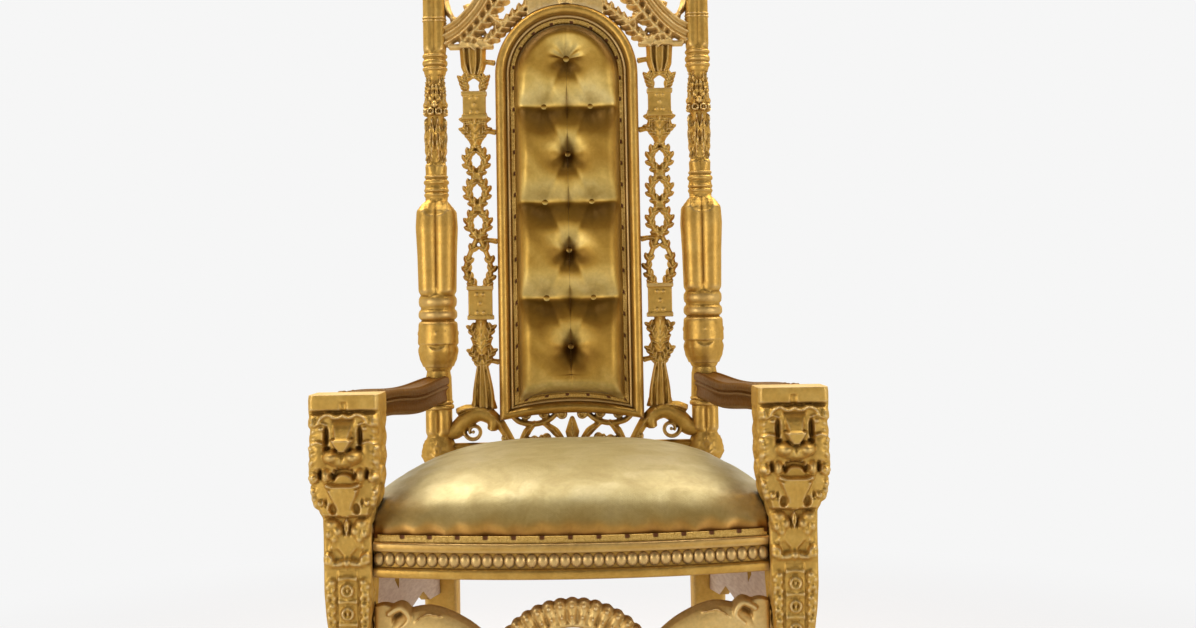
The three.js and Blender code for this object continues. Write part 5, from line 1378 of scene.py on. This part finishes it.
def crest():
    # two arched bands with leafy stems run up to a plinth that carries the shell
    style = crestStyle
    back, front = style["thick"] / 2, -style["thick"] / 2
    bandFront = back - style["bandThick"]
    at, pair = drawnIn(style, back)
    inner = [[88, 2], [74, 9], [60, 18], [48, 27], [42, 42]]
    shapes = [
        *pair([[105, 4.6], [90, 9], [74, 18], [63, 29], [57, 40], [50, 48.5], [37, 51.5], [28, 47]],
              [42, 36, 32, 30, 28, 25, 20, 15], scrollBand, bandFront, 70, 0.02),
        *pair([[98, 1], [60, 1]], [10, 10], flatBar, front),
        *pair(inner, [12, 12, 11, 11, 10], roundStem, front - 2, 40),
    ]
    around = [[82, 1.5], [66, 3], [54, 8.5], [42, 14.5], [28, 20], [12, 23]]
    outer = [[100, 12], [86, 18], [76, 27], [69, 38], [64, 50], [52, 58], [38, 61]]
    for hand in (-1, 1):
        stem = [at(hand * u, v) for u, v in inner]
        shapes += leavesAlong(stem, np.linspace(0.04, 0.96, 11), 21, 15, front - 3, back, lean=58)
        vine = [at(hand * u, v) for u, v in around]
        shapes.append(strand(vine, [10, 10], roundStem, front - 1, back, steps=50))
        shapes += leavesAlong(vine, np.linspace(0.03, 0.97, 13), 17, 13, front - 3, back, lean=58)
        rim = [at(hand * u, v) for u, v in outer]
        shapes += leavesAlong(rim, np.linspace(0.06, 0.94, 8), 26, 17, front - 2, back, hands=(hand,),
                              lean=66)
    for spots, wide in (([[80, 6], [69, 3], [58, 4.5]], 22), ([[64, 15], [54, 11], [47, 14]], 22),
                        ([[50, 26], [40, 25], [33, 27]], 22), ([[94, 14], [100, 19], [99, 26]], 20),
                        ([[72, 30], [78, 37], [76, 44]], 20), ([[58, 50], [62, 58], [58, 65]], 20)):
        shapes += pair(spots, [8, wide, 4], leafBlade, front - 4, 18, 0.1)
    eye = at(31, 44)
    shapes += bothHands(volute, eye, 17, 4, 1.3, -1, 1.2, [14, 11, 8], roundStem, bandFront, back)
    plinthHalf, plinthTop = at(33, 36)
    plinthFoot, capTop = at(0, 4)[1], at(0, 39)[1]
    capHalf = at(36, 0)[0]
    rows = np.stack([np.array([[-half, front - 4, z], [half, front - 4, z], [half, back, z],
                               [-half, back, z]])
                     for half, z in ((plinthHalf, plinthFoot),
                                     (plinthHalf * 0.95, mix(plinthFoot, plinthTop, 0.4)),
                                     (plinthHalf * 0.86, plinthTop))])
    shapes += [skin(rows), boxShape(-capHalf, capHalf, front - 9, back, capTop - 10, capTop - 2),
               boxShape(-capHalf * 0.94, capHalf * 0.94, front - 7, back, plinthTop - 8, capTop)]
    shapes.append(strand([[0, plinthFoot + 8], [0, mix(plinthFoot, plinthTop, 0.5)], [0, plinthTop - 8]],
                         [14, 60, 20], leafBlade, front - 12, back))
    root = np.array([0, capTop - 8])
    lengths = [share * (style["top"] - root[1]) for share in (0.6, 0.78, 0.92, 1, 0.92, 0.78, 0.6)]
    shapes += shellLobes(root, lengths, math.radians(74), front - 4, back, 1.02)
    shapes.append(domeShape(np.array([0, front - 2.0, root[1] + 16]), np.array([26, 12, 24]), 9, 18))
    return moved(joined(shapes), onBack)


crestMesh = fused("pierced_crest", [crest()], crestStyle["voxel"], crestStyle["faces"], cutter=archCutter())
addPiece("pierced_crest", crestMesh, [giltPaintedLight], "gilded_wood", "crest", sharp=60)
print("crest carved")


# Front apron

apronStyle = {"foot": 178, "top": 376, "reach": 304, "thick": 26, "lobes": 23, "voxel": 1.7, "faces": 100000}


def frontApron():
    # a shell between two leaf scrolls on a waved band, in the plane of the front legs
    style = apronStyle
    back, front = style["thick"] / 2, -style["thick"] / 2
    at, pair = drawnIn(style, back)
    shoulders = [[98, 58], [86, 76], [73, 80], [57, 70], [43, 52], [34, 32], [36, 16], [45, 22]]
    shapes = [
        *pair([[96, 0], [96, 98]], [30, 30], flatBar, front, 30, 0.01),
        *pair([[94, 90], [87, 95], [83, 86], [88, 78]], [14, 16, 14, 12], roundStem, front - 5),
        *pair(shoulders, [36, 52, 60, 56, 48, 40, 26, 14], roundStem, front - 3, 70, 0.02),
        strand([at(-102, 14), at(-64, 4), at(-28, 16), at(0, 27), at(28, 16), at(64, 4), at(102, 14)],
               [26, 26],
               scrollBand, front, back, steps=90, taper=0.01),
    ]
    shellFoot = at(0, 27)[1]
    radius = style["top"] - shellFoot
    middle = np.array([0, shellFoot])

    def ray(share):
        # a direction out of the shell's foot, share 0 to 1 over its spread of 87 degrees to either hand
        angle = mix(-math.radians(87), math.radians(87), share)
        return np.array([math.sin(angle), math.cos(angle)])

    for k in range(style["lobes"]):  # scalloped rim: touching lobes, each with two pearls
        way = ray(k / (style["lobes"] - 1))
        line = [middle + way * radius * share for share in (0.72, 0.82, 0.91, 0.99)]
        shapes.append(strand(line, [13, 18, 24, 15], roundStem, front - 2, back, steps=20, taper=0.2))
        for share, size in ((0.93, 4.2), (0.81, 3.2)):
            spot = middle + way * radius * share
            shapes.append(domeShape(np.array([spot[0], front - 2.0, spot[1]]), np.array([size, 4, size])))
    arcSpots = [middle + radius * 0.72 * np.array([math.sin(a), math.cos(a)])
                for a in np.linspace(-1.5, 1.5, 15)]
    shapes.append(strand(arcSpots, [13, 13], roundStem, front - 1, back, steps=60, taper=0.02))
    for k in range(6):
        angle = mix(-math.radians(84), math.radians(84), (k + 1) / 7)
        way = np.array([math.sin(angle), math.cos(angle)])
        line = [middle + way * radius * share for share in (0.1, 0.45, 0.85)]
        shapes.append(strand(line, [8, 13, 20], leafBlade, front + 1, back, steps=20))
    shapes.append(strand([[0, shellFoot - 20], [0, shellFoot + 14], [0, shellFoot + 42]], [40, 54, 12],
                         scrollBand,
                         front - 5, back))
    for hand in (-1, 1):
        branch = [at(hand * u, v) for u, v in ((92, 22), (82, 34), (70, 40), (58, 34), (50, 20))]
        shapes.append(strand(branch, [10, 10, 9, 9, 8], roundStem, front - 1, back, steps=40))
        shapes += leavesAlong(branch, np.linspace(0.08, 0.92, 8), 15, 12, front - 4, back)
    leaves = [
        ([[90, 40], [80, 46], [70, 44]], 16), ([[68, 42], [60, 34], [58, 24]], 16),
        ([[84, 20], [76, 30], [66, 30]], 16),
        ([[56, 30], [50, 20], [54, 12]], 13), ([[94, 26], [88, 34], [80, 34]], 13),
        ([[30, 22], [24, 34], [26, 44]], 13),
        ([[88, 66], [80, 72], [70, 72]], 13), ([[68, 70], [58, 66], [52, 56]], 13),
        ([[80, 84], [74, 90], [66, 88]], 10),
    ]
    for spots, wide in leaves:
        shapes += pair(spots, [5, wide, 4], leafBlade, front - 6, 20, 0.1)
    return moved(joined(shapes), lambda points: points + [0, legY, 0])


apronMesh = fused("carved_front_apron", [frontApron()], apronStyle["voxel"], apronStyle["faces"])
addPiece("carved_front_apron", apronMesh, [giltPaintedLight], "gilded_wood", "front_apron", sharp=60)
print("apron carved")


# Seat cushion and its braid

cushionStyle = {
    "foot": railTop + gap, "tuck": 11, "rise": 122, "inset": 4, "back": postY + 4, "sideFullness": 3.4,
    "fullness": 2.9,
    "voxel": 12, "pressure": 3, "frames": 20, "cap": 5,
    "start": 4,  # the dome starts that much lower, and swells
    "stretch": 60, "bending": 20, "pleatPitch": 43,
}


def cushionDome():
    # height is rise times the root of 1 - |s|^fullness both ways, over the plan inside the rails
    style = cushionStyle
    turn = np.sin(np.linspace(-1, 1, 101) * math.pi / 2)
    u = turn[None, :]
    v = np.sin(np.linspace(-1, 1, 91) * math.pi / 2)[:, None]
    wide = sideX(mix(legY, style["back"], (v + 1) / 2)) + railStyle["sideOut"] - style["inset"]
    frontWide = sideX(legY) + railStyle["sideOut"] - style["inset"]
    front = railFaceY(np.minimum(np.abs(u) * frontWide, railEnd)) + style["inset"]
    crown = np.sqrt(np.clip(1 - np.abs(u) ** style["sideFullness"], 0, 1)) \
        * np.sqrt(np.clip(1 - np.abs(v) ** style["fullness"], 0, 1))
    x, y = u * wide, mix(front, style["back"], (v + 1) / 2)
    low = style["foot"] + style["tuck"]
    z = low + (style["rise"] - style["tuck"] - style["start"]) * crown
    top = np.stack([x, y, z], -1)
    rim = np.concatenate([top[0], top[1:, -1], top[-1, -2::-1], top[-2:0:-1, 0]])
    foot = rim.copy()
    foot[:, 2] = style["foot"]
    middle = np.array([[0, 0, style["foot"]]])
    count = top.shape[0] * top.shape[1]
    index = np.arange(count).reshape(top.shape[:2])
    quads = np.stack([index[:-1, :-1], index[:-1, 1:], index[1:, 1:], index[1:, :-1]], -1).reshape(-1, 4)
    edge = np.concatenate([index[0], index[1:, -1], index[-1, -2::-1], index[-2:0:-1, 0]])
    below = count + np.arange(len(edge))
    walls = np.stack([np.roll(edge, -1), edge, below, np.roll(below, -1)], -1)
    fan = np.stack([np.roll(below, -1), below, np.full(len(edge), count + len(edge))], -1)
    points = np.concatenate([top.reshape(-1, 3), foot, middle])
    return facingOut((points, np.concatenate([quads, walls]), fan))


def inflated(mesh, pinned, style):
    # the cloth is held at its foot and blown up; no point may travel further than the cap
    carrier = bpy.data.objects.new("blown", mesh)
    scene.collection.objects.link(carrier)
    start = pointsOf(mesh)
    carrier.vertex_groups.new(name="tacked").add(np.flatnonzero(pinned).tolist(), 1.0, "REPLACE")
    cloth = carrier.modifiers.new("cloth", "CLOTH")
    cloth.settings.quality = 5
    cloth.settings.tension_stiffness = cloth.settings.compression_stiffness = style["stretch"]
    cloth.settings.bending_stiffness = style["bending"]
    cloth.settings.use_pressure = True
    cloth.settings.uniform_pressure_force = style["pressure"]
    cloth.settings.vertex_group_mass = "tacked"
    cloth.settings.effector_weights.gravity = 0
    cloth.point_cache.frame_start, cloth.point_cache.frame_end = 1, style["frames"]
    for step in range(1, style["frames"] + 1):
        scene.frame_set(step)
    graph = bpy.context.evaluated_depsgraph_get()
    blown = pointsOf(carrier.evaluated_get(graph).data)
    scene.frame_set(1)
    bpy.data.objects.remove(carrier)
    travel = blown - start
    far = np.linalg.norm(travel, axis=1, keepdims=True)
    setPoints(mesh, start + travel * np.minimum(1, style["cap"] / np.maximum(far, 1e-6)))
    return mesh


def keepOut(points, middle, halfX, halfY):
    # a point inside the upright block goes to the nearest of its four sides
    local = points[:, :2] - middle
    reach = np.stack(np.broadcast_arrays(halfX, halfY + 0 * local[:, 0]), 1) + 0.8
    depth = reach - np.abs(local)
    inside = (depth > 0).all(1)
    nearest = np.argmin(depth, 1)
    for axis in (0, 1):
        chosen = inside & (nearest == axis)
        points[chosen, axis] = middle[axis] + np.sign(local[chosen, axis]) * reach[chosen, axis]
    return points


def seatCushion():
    # the dome as one skin, blown up as cloth; pleats, pulls and crinkle follow its normals
    style = cushionStyle
    mesh = evaluated(meshOf("seat_pad", cushionDome()),
                     ("REMESH", {"mode": "VOXEL", "voxel_size": style["voxel"] * mm}),
                     ("SMOOTH", {"factor": 0.5, "iterations": 3}))
    mesh = inflated(mesh, pointsOf(mesh)[:, 2] < style["foot"] + 9, style)
    mesh = evaluated(mesh, ("SMOOTH", {"factor": 0.5, "iterations": 2}),
                     ("SUBSURF", {"levels": 1, "render_levels": 1}))
    points, normals = pointsOf(mesh), normalsOf(mesh)
    low = points[:, 2] - style["foot"]
    run = np.where(np.abs(points[:, 0]) < railEnd - 4, points[:, 0], points[:, 1])
    half = style["pleatPitch"] / 2
    away = (run + half) % style["pleatPitch"] - half
    pleat = np.exp(-(away / 6) ** 2) * np.exp(-((low - 12) / 11) ** 2)
    pulls = 0.9 * np.cos(run * math.pi / half) * ease(46, 12, low)
    crinkle = 0.5 * wander(points, 80, 2.0) + 0.15 * wander(points, 24, 5.0) * ease(20, 60, low)
    outward = (crinkle - pulls - 1.2 * pleat) * ease(0, 4, low)
    points = points + normals * outward[:, None]
    points[:, 2] = np.maximum(points[:, 2], style["foot"])
    headHalf = np.interp(points[:, 2], [505, 521, 534, 555, 600], [38, 45, 50, 54, 56])
    for side in (-1, 1):
        points = keepOut(points, (side * (legX + 1.5), legY), headHalf, 38)
        points = keepOut(points, (side * postX, postY), 34 + 0 * headHalf, 34)
    setPoints(mesh, points)
    return mesh


cushion = addPiece("domed_seat_cushion", seatCushion(), [satin], "upholstery", "seat_cushion", sharp=80)
print("cushion stuffed")


def seatGimp(side):
    # the braid stands on the rail's top edge against the cushion, facing out; side 0 is the front
    high, thick, pitch = 11, braidStyle["thick"], 1.6
    start, end = (sideStart, sideEnd) if side else (-railEnd, railEnd)
    run = np.arange(start + 1, end - 1, pitch)[:, None]
    share = np.linspace(-1, 1, 9)[None, :]
    height, tack = braidSection(run, share)
    z = railTop + gap + high * (share + 1) / 2 + 0 * run
    if side:
        wall = side * (sideX(run) + railStyle["sideOut"] - 0.4 - thick)
        face = np.stack([wall + side * height, run + 0 * share, z], -1)
        behind = face[:, [-1, 0]] * [0, 1, 1] + wall[..., None] * [1, 0, 0]
    else:
        wall = railFaceY(run) + 0.4 + thick
        face = np.stack([run + 0 * share, wall - height, z], -1)
        behind = face[:, [-1, 0]] * [1, 0, 1] + wall[..., None] * [0, 1, 0]
    name = "braid_" + ("left", "front", "right")[side + 1]
    return braidMesh(name, skin(np.concatenate([face, behind], 1)),
                     np.concatenate([tack, tack[:, [-1, 0]]], 1))


for side, word in ((0, "front"), (-1, "left"), (1, "right")):
    addPiece("braid_" + word, seatGimp(side), [braid], "braid", "seat_gimp_" + word, sharp=70)
print("braid tacked on")


# Floor, light and camera

studioStyle = {
    "floor": "#CCCCD0", "backdrop": "#F6F6F6", "cove": "#D9D7D5", "ceiling": "#3D3833",
    "near": 0.7, "far": 2.4, "floorSize": 60,
}


def studioAir(tree, way):
    # a white backdrop behind the throne, a greyer cove round the other sides and a dim ceiling over them
    parts = addNode(tree, "ShaderNodeSeparateXYZ", {"Vector": way})
    behind = addNode(tree, "ShaderNodeMapRange", {"Value": (parts, "Y"), "From Min": -0.2, "From Max": 0.55},
                     interpolation_type="SMOOTHSTEP")
    above = addNode(tree, "ShaderNodeMapRange", {"Value": (parts, "Z"), "From Min": 0.12, "From Max": 0.45},
                    interpolation_type="SMOOTHSTEP")
    room = addNode(tree, "ShaderNodeMix", {0: (above, "Result"), 6: linear(studioStyle["cove"]),
                                           7: linear(studioStyle["ceiling"])}, data_type="RGBA")
    air = addNode(tree, "ShaderNodeMix", {0: (behind, "Result"), 6: (room, 2),
                                          7: linear(studioStyle["backdrop"])}, data_type="RGBA")
    return air, 2


def studio():
    # a matt floor near the throne that glows into the backdrop's own tone further off, so that no edge shows
    style = studioStyle
    half = style["floorSize"] / 2
    mesh = bpy.data.meshes.new("floor")
    mesh.from_pydata([(-half, -half, 0), (half, -half, 0), (half, half, 0), (-half, half, 0)], [],
                     [(0, 1, 2, 3)])
    material, tree, shader, place = newMaterial("pale studio floor, matt")
    setSockets(tree, shader, {"Base Color": linear(style["floor"]), "Roughness": 0.75})
    way = addNode(tree, "ShaderNodeVectorMath", {0: place}, operation="NORMALIZE")
    away = addNode(tree, "ShaderNodeVectorMath", {0: place}, operation="LENGTH")
    fade = addNode(tree, "ShaderNodeMapRange", {"Value": (away, "Value"), "From Min": style["near"],
                                                "From Max": style["far"]}, interpolation_type="SMOOTHSTEP")
    glow = addNode(tree, "ShaderNodeEmission", {"Color": studioAir(tree, (way, "Vector"))})
    both = addNode(tree, "ShaderNodeMixShader", {0: (fade, "Result"), 1: (shader, "BSDF"),
                                                 2: (glow, "Emission")})
    setSockets(tree, tree.nodes["Material Output"], {"Surface": (both, 0)})
    mesh.materials.append(material)
    floor = bpy.data.objects.new("floor", mesh)
    scene.collection.objects.link(floor)
    world = scene.world or bpy.data.worlds.new("air")
    scene.world = world
    world.use_nodes = True
    tree = world.node_tree
    tree.nodes.clear()
    way = (addNode(tree, "ShaderNodeTexCoord"), "Generated")
    air = addNode(tree, "ShaderNodeBackground", {"Color": studioAir(tree, way), "Strength": 1.0})
    addNode(tree, "ShaderNodeOutputWorld", {"Surface": (air, "Background")})
    scene.view_settings.view_transform = "Standard"


def softbox(name, place, aim, size, power, colour="#FFFFFF"):
    # an area light looking from its place at the aim
    data = bpy.data.lights.new(name, "AREA")
    data.shape, data.size, data.energy, data.color = "SQUARE", size, power, linear(colour)[:3]
    lamp = bpy.data.objects.new(name, data)
    scene.collection.objects.link(lamp)
    lamp.location = place
    lamp.rotation_euler = (Vector(aim) - Vector(place)).to_track_quat("-Z", "Y").to_euler()
    return lamp


studio()
softbox("topLeft", (-1.3, 0.75, 3.3), (0, 0.1, 0.6), 2.1, 90, "#FFFBF2")
softbox("topRight", (1.4, 0.75, 3.2), (0, 0.1, 0.6), 2.0, 75, "#FFFBF2")
softbox("frontLeft", (-2.6, -2.2, 1.0), (0, 0, 0.8), 1.5, 34)
softbox("frontRight", (2.7, -2.0, 1.0), (0, 0, 0.8), 1.5, 22)

cameraStyle = {"place": (0.025, -2.4, 0.823), "roll": 1.0, "lens": 41.06, "shift": (0.0125, -0.0038)}
cameraData = bpy.data.cameras.new("camera")
cameraData.lens, cameraData.sensor_width = cameraStyle["lens"], 36
cameraData.shift_x, cameraData.shift_y = cameraStyle["shift"]
camera = bpy.data.objects.new("camera", cameraData)
camera.location = cameraStyle["place"]
camera.rotation_euler = (math.radians(90), math.radians(cameraStyle["roll"]), 0)
scene.collection.objects.link(camera)
scene.camera = camera
print("studio lit")

bpy.context.view_layer.update()
